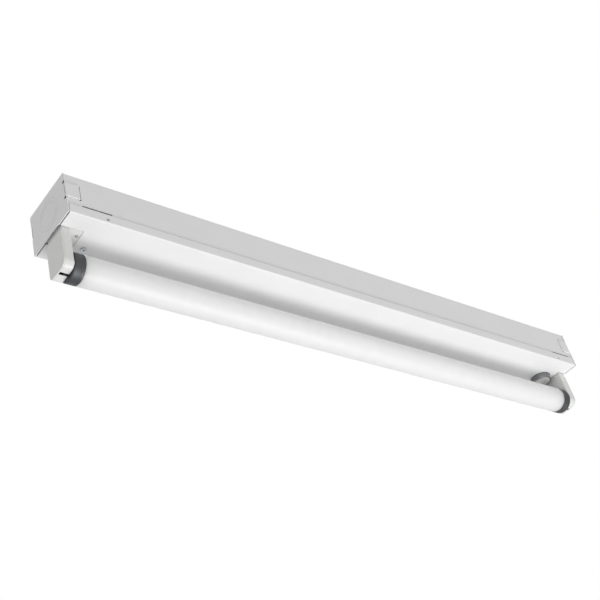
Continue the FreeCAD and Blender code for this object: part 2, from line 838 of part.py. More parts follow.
def lamp_cathode(end):
    # Two support wires that lean apart and carry the coiled filament between their tips
    start = lamp_face + stem_inset + stem_length
    pieces = []
    tips = []
    for side in SIDES:
        root_y = side * stem_radius / 2
        root = vec(holder_x(end, start - cathode_wire_root), root_y, lamp_z)
        knee = vec(holder_x(end, start + cathode_wire_root), root_y, lamp_z)
        tip = vec(holder_x(end, start + cathode_wire_length), side * cathode_wire_spread, lamp_z)
        pieces.append(rod(cathode_wire_radius, root, knee))
        pieces.append(Part.makeSphere(cathode_wire_radius, knee))
        pieces.append(rod(cathode_wire_radius, knee, tip))
        tips.append(tip)
    coil = rod(cathode_coil_radius, tips[0], tips[1])
    return fuse(coil, *pieces)


def starter_rod(radius, z0, z1):
    return upright(radius, starter_x, starter_offset, z0, z1)


def starter_can():
    can = starter_rod(starter_radius, starter_bottom, starter_can_top)
    rim = round_edges(can, lambda p: p.z < cover_underside)
    can = can.makeFillet(starter_can_corner, rim)
    inside = starter_rod(starter_radius - starter_can_wall, starter_bottom + starter_can_wall,
                         starter_can_top + overrun)
    return can.cut(inside)


def starter_base():
    plug_radius = starter_radius - starter_can_wall - insulator_gap
    disc = starter_rod(starter_radius, starter_can_top, starter_base_top)
    plug = starter_rod(plug_radius, starter_can_top - starter_base_height, starter_can_top)
    shape = fuse(disc, plug)
    return cut(shape, *[starter_pin_place(starter_pin_radius + rivet_gap, side,
                                          starter_can_top - starter_base_height - overrun,
                                          starter_base_top + overrun) for side in SIDES])


def starter_pin_place(radius, side, z0, z1):
    return upright(radius, starter_x, starter_offset + side * starter_pin_offset, z0, z1)


def starter_pins():
    solids = []
    for side in SIDES:
        stem = starter_pin_place(starter_pin_radius, side, starter_can_top, starter_pin_top)
        head = starter_pin_place(starter_pin_head_radius, side,
                                 starter_pin_top - starter_pin_head_height, starter_pin_top)
        solids.append(fuse(stem, head))
    return Part.makeCompound(solids)


def inside_base():
    return starter_can_top - starter_base_height - starter_part_gap


def starter_bulb():
    x = starter_x - starter_bulb_offset
    top = inside_base()
    tube = upright(starter_bulb_radius, x, starter_offset, top - starter_bulb_height, top)
    dome = Part.makeSphere(starter_bulb_radius, vec(x, starter_offset, top - starter_bulb_height))
    return fuse(tube, dome)


def starter_capacitor():
    x = starter_x + starter_capacitor_offset
    top = inside_base()
    return upright(starter_capacitor_radius, x, starter_offset, top - starter_capacitor_height, top)


def socket_screw_x():
    return starter_x - socket_before + socket_screw_inset


def starter_socket():
    x0 = starter_x - socket_before
    x1 = starter_x + socket_after
    body = box(x0, x1, starter_offset - socket_half_width, starter_offset + socket_half_width,
               socket_bottom, -sheet)
    body = rounded(body, starter_can_corner, Z_AXIS, lambda p: True)
    cavity_floor = socket_bottom + socket_floor
    cavity = starter_rod(socket_cavity_outer, cavity_floor, -sheet - socket_roof)
    post = starter_rod(socket_cavity_inner, cavity_floor, -sheet - socket_roof)
    tools = [cavity.cut(post)]
    for side in SIDES:
        tools += starter_track(side)
    screw_hole = upright(socket_screw_radius + rivet_gap, socket_screw_x(), starter_offset,
                         socket_bottom - overrun, overrun)
    screw_well = upright(socket_screw_head_radius + rivet_gap, socket_screw_x(), starter_offset,
                         socket_bottom - overrun, -sheet - 2 * socket_roof)
    return cut(body, screw_hole, screw_well, *tools)


def starter_track(side):
    # One pin's way through the socket's floor: its locked place, the arc that it turns
    # along and the wider hole that it comes in by
    track_radius = starter_pin_radius + parting_gap
    low = socket_bottom - overrun
    high = socket_bottom + socket_floor + sliding_gap
    locked = starter_pin_place(track_radius, side, low, high)
    middle_y = starter_offset + side * starter_pin_offset
    near = middle_y - track_radius
    far = middle_y + track_radius
    corners = [vec(starter_x, near, low), vec(starter_x, far, low), vec(starter_x, far, high),
               vec(starter_x, near, high)]
    profile = Part.Face(Part.makePolygon(corners + corners[:1]))
    arc = profile.revolve(vec(starter_x, starter_offset, 0), -Z_AXIS, starter_turn)
    turn = math.radians(starter_turn)
    entry = upright(socket_entry_radius, starter_x + side * starter_pin_offset * math.sin(turn),
                    starter_offset + side * starter_pin_offset * math.cos(turn), low, high)
    return [locked, arc, entry]


def starter_socket_contacts():
    # A bronze strip over each pin's head, seated against the wall of the cavity
    solids = []
    z0 = starter_pin_top + parting_gap
    for side in SIDES:
        near = starter_offset + side * (socket_cavity_inner + socket_contact_wall_gap)
        far = starter_offset + side * (socket_cavity_outer - 2 * socket_contact_thickness)
        solids.append(box(starter_x - socket_contact_width / 2, starter_x + socket_contact_width / 2,
                          near, far, z0, z0 + socket_contact_thickness))
    return Part.makeCompound(solids)


def starter_socket_screw():
    head_z = -sheet - 2 * socket_roof
    return slotted_screw(socket_screw_x(), starter_offset, head_z, socket_screw_radius,
                         socket_screw_head_radius, socket_screw_head_height, -sheet / 2 - head_z)


def ballast_box(length, half_width, z0, z1):
    return box(ballast_x - length / 2, ballast_x + length / 2, -half_width, half_width, z0, z1)


def ballast_base():
    base = ballast_box(ballast_base_length, ballast_base_half_width, ballast_floor, -sheet)
    holes = [upright(ballast_screw_radius + rivet_gap, ballast_x + side * ballast_screw_place, 0,
                     ballast_floor - overrun, overrun) for side in SIDES]
    return cut(base, *holes)


def ballast_core():
    # A stack of steel laminations with a tunnel along it for the winding
    core = ballast_box(ballast_core_length, ballast_core_half_width,
                       ballast_floor - ballast_core_height, ballast_floor)
    window_top = ballast_floor - ballast_window_top
    window = ballast_box(ballast_core_length + overrun, ballast_window_half_width,
                         window_top - ballast_window_height, window_top)
    tools = [window]
    count = int(ballast_core_half_width // ballast_lamination_pitch)
    for step in range(-count + 1, count):
        y = step * ballast_lamination_pitch
        tools.append(box(ballast_x - ballast_core_length, ballast_x + ballast_core_length,
                         y - ballast_lamination_depth / 2, y + ballast_lamination_depth / 2,
                         ballast_floor - ballast_core_height - overrun,
                         ballast_floor - ballast_core_height + ballast_lamination_depth))
    return cut(core, *tools)


def ballast_coil():
    top = ballast_floor - ballast_window_top - ballast_coil_gap
    low = top - ballast_window_height + 2 * ballast_coil_gap
    coil = ballast_box(ballast_coil_length, ballast_window_half_width - ballast_coil_gap, low, top)
    return rounded(coil, ballast_coil_corner, X_AXIS, lambda p: True)


def ballast_terminal_face():
    return ballast_x - ballast_terminal_place


def ballast_terminals():
    x = ballast_terminal_face()
    block = box(x, x + ballast_terminal_length, -ballast_terminal_half_width,
                ballast_terminal_half_width, ballast_floor - ballast_terminal_height, ballast_floor)
    return rounded(block, sheet, Y_AXIS, lambda p: p.z < ballast_floor - sheet)


def ballast_screws():
    solids = []
    for side in SIDES:
        x = ballast_x + side * ballast_screw_place
        solids.append(slotted_screw(x, 0, ballast_floor, ballast_screw_radius,
                                    ballast_screw_head_radius, ballast_screw_head_height,
                                    -ballast_floor))
    return Part.makeCompound(solids)


def pole_places():
    return [step * pole_pitch for step in (-1, 0, 1)]


def block_end(side):
    return block_x + side * block_length / 2


def block_bar(radius, y, short):
    start = vec(block_end(-1) + short, y, pole_z)
    return rod(radius, start, start + X_AXIS * (block_length - 2 * short))


def terminal_block():
    body = box(block_end(-1), block_end(1), -block_half_width, block_half_width,
               -sheet - block_height, -sheet)
    body = rounded(body, sheet, Z_AXIS, lambda p: True)
    tools = []
    for y in pole_places():
        tools.append(block_bar(pole_insert_radius + rivet_gap, y, -overrun))
        for side in SIDES:
            tools.append(upright(pole_well_radius, block_x + side * pole_screw_spacing / 2, y,
                                 -sheet - block_height - overrun, pole_z))
    tools.append(upright(block_screw_radius + rivet_gap, block_x, block_screw_offset,
                         -sheet - block_height - overrun, overrun))
    tools.append(upright(block_screw_head_radius + rivet_gap, block_x, block_screw_offset,
                         -sheet - block_height - overrun, -2 * sheet))
    return cut(body, *tools)


def terminal_inserts():
    solids = []
    for y in pole_places():
        insert = block_bar(pole_insert_radius, y, pole_insert_short)
        holes = [block_bar(pole_bore_radius, y, -overrun)]
        for side in SIDES:
            holes.append(upright(pole_screw_radius + rivet_gap,
                                 block_x + side * pole_screw_spacing / 2, y,
                                 pole_z - pole_insert_radius - overrun, pole_z))
        solids.append(cut(insert, *holes))
    return Part.makeCompound(solids)


def terminal_screws():
    solids = []
    low = -sheet - block_height + pole_screw_sunk
    for y in pole_places():
        for side in SIDES:
            x = block_x + side * pole_screw_spacing / 2
            screw = upright(pole_screw_radius, x, y, low, pole_z - pole_bore_radius / 2)
            slot = box(x - pole_screw_radius, x + pole_screw_radius, y - sheet / 4, y + sheet / 4,
                       low - overrun, low + sheet)
            solids.append(screw.cut(slot))
    return Part.makeCompound(solids)


def terminal_block_screw():
    head_z = -2 * sheet
    return slotted_screw(block_x, block_screw_offset, head_z, block_screw_radius,
                         block_screw_head_radius, block_screw_head_height, -sheet / 2 - head_z)


def cable_bushing():
    sleeve = upright(bushing_sleeve_radius, bushing_x, 0, -bushing_length, 0)
    flange = upright(bushing_flange_radius, bushing_x, 0, -sheet - bushing_flange_thickness, -sheet)
    bore = upright(bushing_bore_radius, bushing_x, 0, -bushing_length - overrun, overrun)
    return cut(fuse(sleeve, flange), bore)


def earth_barrel_ends():
    near = earth_x - earth_ring_radius - earth_tag_reach + earth_barrel_length
    return near - earth_barrel_length, near


def earth_tag():
    # The ring that the earth screw clamps, with the barrel crimped on the earth lead
    far, near = earth_barrel_ends()
    z_low = -sheet - earth_tag_thickness
    plate = upright(earth_ring_radius, earth_x, earth_y, z_low, -sheet)
    tongue = box(far, earth_x, earth_y - earth_tag_half_width, earth_y + earth_tag_half_width,
                 z_low, -sheet)
    barrel_z = -sheet - earth_barrel_radius
    barrel = rod(earth_barrel_radius, vec(far, earth_y, barrel_z), vec(near, earth_y, barrel_z))
    hole = upright(earth_screw_radius + rivet_gap, earth_x, earth_y, z_low - overrun, overrun)
    return cut(fuse(plate, tongue, barrel), hole)


def earth_screw():
    head_z = -sheet - earth_tag_thickness
    return slotted_screw(earth_x, earth_y, head_z, earth_screw_radius, earth_head_radius,
                         earth_head_height, -head_z)


def lead(points):
    # One insulated wire: straight runs joined by arcs that touch both runs
    edges = []
    start = points[0]
    for here, corner, after in zip(points, points[1:], points[2:]):
        into = corner - here
        out = after - corner
        turn = into.getAngle(out)
        room = lead_room_share * min(into.Length, out.Length)
        trim = min(lead_bend * math.tan(turn / 2), room)
        radius = trim / math.tan(turn / 2)
        into.normalize()
        out.normalize()
        arc_start = corner - into * trim
        arc_end = corner + out * trim
        inwards = out - into
        inwards.normalize()
        centre = corner + inwards * (radius / math.cos(turn / 2))
        middle = centre - inwards * radius
        edges.append(Part.makeLine(start, arc_start))
        edges.append(Part.Arc(arc_start, middle, arc_end).toShape())
        start = arc_end
    edges.append(Part.makeLine(start, points[-1]))
    path = Part.Wire(edges)
    along_first = points[1] - points[0]
    section = Part.Wire([Part.makeCircle(lead_radius, points[0], along_first)])
    tube = path.makePipeShell([section], True, False)
    length = sum(edge.Length for edge in edges)
    print("  lead length %.1f, volume over section times length %.4f"
          % (length, tube.Volume / (math.pi * lead_radius ** 2 * length)))
    return tube


def holder_wire_x(end):
    depth0, depth1 = blade_depths()
    return holder_x(end, (depth0 + depth1) / 2)


def holder_wire_end(end, side):
    y = side * (blade_inside + blade_thickness / 2)
    return vec(holder_wire_x(end), y, blade_top())


def into_holder(end, side, lane, z):
    # The last points of a lead that comes along a lane and drops into a lampholder
    finish = holder_wire_end(end, side)
    turn_x = at(end, top_flange_length + lead_drop_margin)
    return [vec(turn_x, side * lane, z), vec(finish.x, finish.y, z - lead_drop_margin), finish]


def lead_live():
    # From the terminal block to the choke
    face = vec(ballast_terminal_face(), ballast_terminal_half_width / 2, pole_z)
    start = vec(block_end(1), 0, pole_z)
    straight = X_AXIS * lead_terminal_straight
    return lead([start, start + straight, face - straight, face])


def lead_choke_out():
    # From the choke along the front gutter to the left lampholder
    start = vec(ballast_terminal_face(), -ballast_terminal_half_width / 2, pole_z)
    out = start - X_AXIS * lead_terminal_straight
    join = vec(out.x - 2 * lead_terminal_straight, -lane_y, lane_z)
    return lead([start, out, join] + into_holder(LEFT, -1, lane_y, lane_z))


def lead_starter_left():
    # From the left lampholder along the rear gutter to the starter's socket
    finish = vec(starter_x - socket_before, starter_offset + socket_half_width / 2, starter_wire_z)
    out = finish - X_AXIS * lead_terminal_straight
    leave = vec(out.x - 2 * lead_terminal_straight, lane_y, lane_z)
    return lead([finish, out, leave] + into_holder(LEFT, 1, lane_y, lane_z))


def lead_starter_right():
    # A short lead from the socket's other side down to the right lampholder
    finish = holder_wire_end(RIGHT, 1)
    start = vec(starter_x + socket_after, finish.y, starter_wire_z)
    return lead([start, vec(finish.x, finish.y, starter_wire_z), finish])


def lead_neutral():
    # From the terminal block along the front gutter to the right lampholder
    start = vec(block_end(1), -pole_pitch, pole_z)
    out = start + X_AXIS * lead_terminal_straight
    z = lane_z - lead_lane_step
    join = vec(out.x + 2 * lead_terminal_straight, -lane_y, z)
    return lead([start, out, join] + into_holder(RIGHT, -1, lane_y, z))


def lead_earth():
    # From the terminal block to the earth tag
    far, near = earth_barrel_ends()
    finish = vec(far, earth_y, -sheet - earth_barrel_radius)
    start = vec(block_end(1), pole_pitch, pole_z)
    straight = X_AXIS * (lead_terminal_straight / 2)
    return lead([start, start + straight, finish - straight, finish])


def save(name, shape):
    if not shape.isValid():
        print("  NOT VALID", name)
    for solid in shape.Solids:
        if not solid.isClosed():
            print("  OPEN", name)
    shape.exportStep("parts/" + name + ".step")
    low = shape.BoundBox
    print("%-28s %2d solids  %9.1f mm3  z %.1f to %.1f"
          % (name, len(shape.Solids), shape.Volume, low.ZMin, low.ZMax))


def main():
    os.makedirs("parts", exist_ok=True)
    singles = [channel, end_plate_rivets, lampholder_rivets, channel_cover, cover_screw, lamp_glass,
               starter_can, starter_base, starter_pins, starter_bulb, starter_capacitor,
               starter_socket, starter_socket_contacts, starter_socket_screw, ballast_base,
               ballast_core, ballast_coil, ballast_terminals, ballast_screws, terminal_block,
               terminal_inserts, terminal_screws, terminal_block_screw, cable_bushing, earth_tag,
               earth_screw, lead_live, lead_choke_out, lead_starter_left, lead_starter_right,
               lead_neutral, lead_earth]
    for make in singles:
        save(make.__name__, make())
    for name, end in ENDS.items():
        save("end_plate_" + name, end_plate(end))
        save("holder_bracket_" + name, holder_bracket(name))
        save("lampholder_body_" + name, lampholder_body(name))
        save("lampholder_back_" + name, lampholder_back(name))
        save("lampholder_rotor_" + name, lampholder_rotor(name))
        save("lampholder_contacts_" + name, lampholder_contacts(name))
        save("lamp_cap_" + name, lamp_cap(end))
        save("lamp_cap_insulator_" + name, lamp_cap_insulator(end))
        save("lamp_pins_" + name, lamp_pins(end))
        save("lamp_stem_" + name, lamp_stem(end))
        save("lamp_cathode_" + name, lamp_cathode(end))


main()
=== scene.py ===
# %% [markdown]
# A strip light is a folded steel tray with one tube lamp hung under it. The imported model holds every
# piece at its real size and place, so this scene starts from it and adds what the eye looks for:
# softened edges, spun and moulded shapes, and the finish of each surface.

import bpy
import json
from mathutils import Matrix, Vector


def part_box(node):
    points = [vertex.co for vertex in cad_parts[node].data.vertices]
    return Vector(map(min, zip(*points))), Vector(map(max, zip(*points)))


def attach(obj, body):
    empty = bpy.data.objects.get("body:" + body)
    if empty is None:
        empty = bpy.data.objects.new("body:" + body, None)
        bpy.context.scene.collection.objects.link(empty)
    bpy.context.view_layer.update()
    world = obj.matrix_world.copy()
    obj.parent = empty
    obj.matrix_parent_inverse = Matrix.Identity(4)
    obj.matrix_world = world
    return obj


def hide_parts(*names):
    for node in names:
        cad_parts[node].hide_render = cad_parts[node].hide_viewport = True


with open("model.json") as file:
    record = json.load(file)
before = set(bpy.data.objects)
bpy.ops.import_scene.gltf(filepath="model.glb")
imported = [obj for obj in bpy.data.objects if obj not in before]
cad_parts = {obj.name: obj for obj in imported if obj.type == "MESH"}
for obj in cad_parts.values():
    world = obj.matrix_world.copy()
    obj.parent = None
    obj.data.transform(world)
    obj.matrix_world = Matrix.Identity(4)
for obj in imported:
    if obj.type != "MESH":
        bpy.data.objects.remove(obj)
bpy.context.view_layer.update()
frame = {"nodes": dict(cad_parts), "record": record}
print("nodes loaded:", len(frame["nodes"]))

# %% [markdown]
# Lengths are in metres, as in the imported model, so a named millimetre keeps the sizes below readable.
# Colours are written as hex values, as a paint chart gives them, and one function makes them linear.

# %% Units and colours
import json
import math

import bmesh
import bpy
from mathutils import Quaternion, Vector

MM = 0.001


def colour(hex_value, alpha=1.0):
    parts = [int(hex_value[i:i + 2], 16) / 255 for i in (1, 3, 5)]
    parts = [p / 12.92 if p <= 0.04045 else ((p + 0.055) / 1.055) ** 2.4 for p in parts]
    return (*parts, alpha)


print("mid grey is", [round(p, 3) for p in colour("#808080")])

# %% [markdown]
# The camera stands below the light and to its left, as the photographer did, and is rolled a little.
# Its angles and distance come from fitting the light's straight edges and corners in the photograph.

# %% Camera
camera_azimuth = math.radians(-47.07)
camera_elevation = math.radians(-36.88)
camera_roll = math.radians(-16.52)
camera_distance = 1029.1 * MM
camera_target = Vector((-54.7 * MM, 0, -34.6 * MM))
image_width_px = 600
focal_length_px = 1127.2

camera = bpy.data.objects.new("camera", bpy.data.cameras.new("camera"))
bpy.context.scene.collection.objects.link(camera)
back = Vector((math.sin(camera_azimuth) * math.cos(camera_elevation),
               -math.cos(camera_azimuth) * math.cos(camera_elevation),
               math.sin(camera_elevation)))
camera.location = camera_target + back * camera_distance
camera.rotation_mode = "QUATERNION"
camera.rotation_quaternion = (-back).to_track_quat("-Z", "Y") @ Quaternion((0, 0, 1), camera_roll)
camera.data.lens = focal_length_px / image_width_px * camera.data.sensor_width
camera.data.clip_start = 10 * MM
bpy.context.scene.camera = camera
bpy.context.scene.view_settings.view_transform = "Standard"
print("lens", round(camera.data.lens, 2), "mm")

# %% [markdown]
# A node tree is easier to read when every node is added the same way: its kind, what goes into its
# sockets, and its settings. A value that is a socket is linked, and any other value is typed in.

# %% One function for nodes


def add(tree, kind, sockets=None, **settings):
    made = tree.nodes.new(kind)
    for name, value in settings.items():
        setattr(made, name, value)
    for name, value in (sockets or {}).items():
        if isinstance(value, bpy.types.NodeSocket):
            tree.links.new(value, made.inputs[name])
        else:
            made.inputs[name].default_value = value
    return made


print("ready to add nodes")

# %% [markdown]
# The light in the photograph is soft and comes from everywhere, with a broad lamp below and in front.
# The world is plain white to the camera and to reflections, and dimmer as a light source, so that
# white enamel doesn't burn out. A photograph of a studio round it would do as well, but plain white is
# easier to match and to change.

# %% World
ambient_strength = 0.54

world = bpy.data.worlds.new("studio")
bpy.context.scene.world = world
world.use_nodes = True
tree = world.node_tree
tree.nodes.clear()
path = add(tree, "ShaderNodeLightPath")
seen = add(tree, "ShaderNodeMath", {0: path.outputs["Is Camera Ray"], 1: path.outputs["Is Glossy Ray"]},
           operation="MAXIMUM")
seen = add(tree, "ShaderNodeMath", {0: seen.outputs[0], 1: path.outputs["Is Transmission Ray"]},
           operation="MAXIMUM")
lighting = add(tree, "ShaderNodeBackground", {"Color": colour("#ffffff"), "Strength": ambient_strength})
backdrop = add(tree, "ShaderNodeBackground", {"Color": colour("#ffffff"), "Strength": 1.0})
mixed = add(tree, "ShaderNodeMixShader", {0: seen.outputs[0], 1: lighting.outputs[0],
                                          2: backdrop.outputs[0]})
add(tree, "ShaderNodeOutputWorld", {"Surface": mixed.outputs[0]})
print("world lights at", ambient_strength)

# %% [markdown]
# The tube throws a soft shadow on the cover above it. A point or a spot lamp would draw that shadow
# with a hard edge. The larger a lamp is, the softer its shadows are, so the key lamp is a wide one.

# %% Key lamp
key_place = Vector((0.14, -0.42, -1.25))
key_aim = Vector((0, 0, -0.05))
key_power = 11.6
key_width = 1.3
key_height = 0.56

key = bpy.data.objects.new("key_lamp", bpy.data.lights.new("key_lamp", "AREA"))
bpy.context.scene.collection.objects.link(key)
key.data.shape = "RECTANGLE"
key.data.size = key_width
key.data.size_y = key_height
key.data.energy = key_power
key.location = key_place
key.rotation_mode = "QUATERNION"
key.rotation_quaternion = (key_aim - key_place).to_track_quat("-Z", "Y")
print("key lamp at", [round(c, 2) for c in key.location])

# %% [markdown]
# The floor is far enough below for the photograph's camera to stand above it. It is pale, and glows a
# little for the camera and for reflections only, which brings it near the white of the backdrop and
# keeps the shadow on it. Leaving it out would be simpler, but then the light would hang in a void.

# %% Floor
floor_level = -1.6
floor_size = 12.0
floor_glow = 0.42

bpy.ops.object.select_all(action="DESELECT")
bpy.ops.mesh.primitive_plane_add(size=floor_size, location=(0, 0, floor_level))
floor = bpy.context.object
floor.name = "floor"
paper = bpy.data.materials.new("matt white paper")
paper.use_nodes = True
tree = paper.node_tree
tree.nodes.clear()
path = add(tree, "ShaderNodeLightPath")
seen = add(tree, "ShaderNodeMath", {0: path.outputs["Is Camera Ray"], 1: path.outputs["Is Glossy Ray"]},
           operation="MAXIMUM")
glow = add(tree, "ShaderNodeMath", {0: seen.outputs[0], 1: floor_glow}, operation="MULTIPLY")
matt = add(tree, "ShaderNodeBsdfDiffuse", {"Color": colour("#f4f4f4")})
shine = add(tree, "ShaderNodeEmission", {"Strength": glow.outputs[0]})
both = add(tree, "ShaderNodeAddShader", {0: matt.outputs[0], 1: shine.outputs[0]})
add(tree, "ShaderNodeOutputMaterial", {"Surface": both.outputs[0]})
floor.data.materials.append(paper)
print("floor at", floor_level)

# %% [markdown]
# Every finish starts the same way: a Principled shader with the material's usual colour, roughness and
# metallic value, and the object's own coordinates for its pattern. A pattern's scale is the number of
# its grains in a metre, so it is worked out from the size of one grain. Some sockets go by a number:
# 0, 6 and 7 are a mix's factor and its two colours, and 3 and 4 are a new range's two ends.

# %% The start of a finish


def start(name, hex_value, roughness, metallic=0.0):
    material = bpy.data.materials.new(name)
    material.use_nodes = True
    tree = material.node_tree
    tree.nodes.clear()
    shader = add(tree, "ShaderNodeBsdfPrincipled", {"Base Color": colour(hex_value),
                                                    "Roughness": roughness, "Metallic": metallic})
    add(tree, "ShaderNodeOutputMaterial", {"Surface": shader.outputs[0]})
    place = add(tree, "ShaderNodeTexCoord").outputs["Object"]
    return material, tree, shader, place


def grains(size):
    return 1 / size


print("1 mm grains have scale", grains(1 * MM))

# %% [markdown]
# Baked enamel on steel is satin. Up close it has the faint pebble of sprayed paint, grains of about a
# millimetre, and over a few centimetres its white drifts a shade, which keeps a large panel from
# looking like paper. A flat colour would do from afar, but a fine and a coarse noise give both.

# %% White enamel on steel


def white_enamel():
    material, tree, shader, place = start("baked white enamel", "#eeeeee", 0.4)
    drift = add(tree, "ShaderNodeTexNoise", {"Vector": place, "Scale": grains(45 * MM), "Detail": 3.0})
    white = add(tree, "ShaderNodeMix", {0: drift.outputs["Fac"], 6: colour("#e9e9e9"),
                                        7: colour("#f2f2f2")}, data_type="RGBA")
    tree.links.new(white.outputs[2], shader.inputs["Base Color"])
    pebble = add(tree, "ShaderNodeTexNoise", {"Vector": place, "Scale": grains(1.1 * MM),
                                              "Detail": 2.0})
    sheen = add(tree, "ShaderNodeMapRange", {0: pebble.outputs["Fac"], 3: 0.34, 4: 0.48})
    tree.links.new(sheen.outputs[0], shader.inputs["Roughness"])
    relief = add(tree, "ShaderNodeBump", {"Height": pebble.outputs["Fac"], "Strength": 0.12,
                                          "Distance": 0.05 * MM})
    tree.links.new(relief.outputs[0], shader.inputs["Normal"])
    return material


enamel = white_enamel()
print("made", enamel.name)

# %% [markdown]
# Bright zinc plating is what small steel pieces get. It is a slightly blue metal with a cloudy
# patchwork, because the plating grows in crystals, and its shine is uneven from place to place. Noise
# alone would look like dust, so the cells of a Voronoi texture stand for the crystals.

# %% Zinc plating


def zinc_plating():
    material, tree, shader, place = start("zinc plated steel", "#b4b8bc", 0.34, 1.0)
    patch = add(tree, "ShaderNodeTexVoronoi", {"Vector": place, "Scale": grains(2.2 * MM)})
    tone = add(tree, "ShaderNodeMix", {0: patch.outputs["Color"], 6: colour("#a6abb0"),
                                       7: colour("#c3c6c9")}, data_type="RGBA")
    tree.links.new(tone.outputs[2], shader.inputs["Base Color"])
    cloud = add(tree, "ShaderNodeTexNoise", {"Vector": place, "Scale": grains(0.8 * MM), "Detail": 4.0})
    sheen = add(tree, "ShaderNodeMapRange", {0: cloud.outputs["Fac"], 3: 0.26, 4: 0.44})
    tree.links.new(sheen.outputs[0], shader.inputs["Roughness"])
    relief = add(tree, "ShaderNodeBump", {"Height": cloud.outputs["Fac"], "Strength": 0.15,
                                          "Distance": 0.03 * MM})
    tree.links.new(relief.outputs[0], shader.inputs["Normal"])
    return material


zinc = zinc_plating()
print("made", zinc.name)

# %% [markdown]
# Moulded plastics differ in colour and in how smooth their mould was. The mould's spark-eroded skin
# leaves grains of a few tenths of a millimetre, drawn here a little coarser so that they show. Grains
# of real geometry would take millions of faces, so a bump in the material gives them.

# %% Moulded plastics


def moulded(name, hex_value, darker_hex, roughness, grain):
    material, tree, shader, place = start(name, hex_value, roughness)
    drift = add(tree, "ShaderNodeTexNoise", {"Vector": place, "Scale": grains(12 * MM), "Detail": 2.0})
    tone = add(tree, "ShaderNodeMix", {0: drift.outputs["Fac"], 6: colour(darker_hex),
                                       7: colour(hex_value)}, data_type="RGBA")
    tree.links.new(tone.outputs[2], shader.inputs["Base Color"])
    skin = add(tree, "ShaderNodeTexNoise", {"Vector": place, "Scale": grains(grain), "Detail": 3.0})
    relief = add(tree, "ShaderNodeBump", {"Height": skin.outputs["Fac"], "Strength": 0.2,
                                          "Distance": 0.04 * MM})
    tree.links.new(relief.outputs[0], shader.inputs["Normal"])
    return material


polycarbonate = moulded("moulded white polycarbonate", "#e8e8e6", "#dfdfdc", 0.3, 0.5 * MM)
grey_polyamide = moulded("moulded grey polyamide", "#d2d2cd", "#c4c4be", 0.45, 0.4 * MM)
# The lampholder rotors are black nylon, a colour some holders have. It is also painted shade here: it
# keeps the pin slot in front of the rotor as dark as its shadow.
black_nylon = moulded("moulded black nylon as painted slot shade", "#1c1c1d", "#131314", 0.42, 0.4 * MM)
phenolic = moulded("pressed phenolic board", "#5a4331", "#3f2d20", 0.55, 0.3 * MM)
lacquer = moulded("dipped capacitor lacquer", "#a87a35", "#8d6326", 0.25, 1.5 * MM)
print("made five moulded finishes")

# %% [markdown]
# The insulation on a lead is drawn through a die, so it is smooth along its length, with a soft shine.
# Leads are told apart by colour: brown is live, blue is neutral, and green with yellow is earth. The
# others are white. The earth's stripe could be a second material on some of its faces, but a wave cut
# in two at one level needs no such choice of faces.

# %% Insulated leads


def pvc(name, hex_value, darker_hex):
    return moulded(name, hex_value, darker_hex, 0.36, 0.9 * MM)


brown_pvc = pvc("brown PVC insulation", "#5b3420", "#4a2917")
blue_pvc = pvc("blue PVC insulation", "#2f5fae", "#264f94")
white_pvc = pvc("white PVC insulation", "#e9e8e4", "#dddcd7")


def green_yellow_pvc():
    material, tree, shader, place = start("green and yellow PVC insulation", "#4f9a3c", 0.36)
    bands = add(tree, "ShaderNodeTexWave", {"Vector": place, "Scale": grains(40 * MM)},
                bands_direction="Z")
    stripe = add(tree, "ShaderNodeMath", {0: bands.outputs["Fac"], 1: 0.6}, operation="GREATER_THAN")
    tone = add(tree, "ShaderNodeMix", {0: stripe.outputs[0], 6: colour("#3f8a37"),
                                       7: colour("#e2cf3a")}, data_type="RGBA")
    tree.links.new(tone.outputs[2], shader.inputs["Base Color"])
    return material


earth_pvc = green_yellow_pvc()
print("made four lead colours")

# %% [markdown]
# Sheet and turned metals show how they were worked: rolled strip has fine lines along its length,
# turned pins have rings round them, and a drawn or spun can has rings round its axis. A noise pattern
# squeezed along one direction gives such lines. An anisotropic shader would stretch the shine too, but
# it draws no lines.

# %% Worked metals


def worked(name, hex_value, lighter_hex, roughness, line, stretch):
    # line is the spacing of the lines, and stretch squeezes the pattern along X, Y and Z
    material, tree, shader, place = start(name, hex_value, roughness, 1.0)
    turned = add(tree, "ShaderNodeMapping", {"Vector": place, "Scale": stretch})
    lines = add(tree, "ShaderNodeTexNoise", {"Vector": turned.outputs[0], "Scale": grains(line),
                                             "Detail": 4.0, "Roughness": 0.6})
    tone = add(tree, "ShaderNodeMix", {0: lines.outputs["Fac"], 6: colour(hex_value),
                                       7: colour(lighter_hex)}, data_type="RGBA")
    tree.links.new(tone.outputs[2], shader.inputs["Base Color"])
    sheen = add(tree, "ShaderNodeMapRange", {0: lines.outputs["Fac"], 3: roughness - 0.06,
                                             4: roughness + 0.1})
    tree.links.new(sheen.outputs[0], shader.inputs["Roughness"])
    relief = add(tree, "ShaderNodeBump", {"Height": lines.outputs["Fac"], "Strength": 0.2,
                                          "Distance": 0.03 * MM})
    tree.links.new(relief.outputs[0], shader.inputs["Normal"])
    return material


ALONG_X = (0.08, 1.0, 1.0)
ROUND_X = (1.0, 0.08, 0.08)
ROUND_Z = (0.08, 0.08, 1.0)
# The caps' aluminium is coloured a dark grey far below bare aluminium. This is painted dark reflection,
# standing in for the dark surroundings that spun metal mirrors.
cap_aluminium = worked("spun aluminium cap with painted dark reflection", "#47484a", "#5c5d5f", 0.5, 0.35 * MM, ROUND_X)
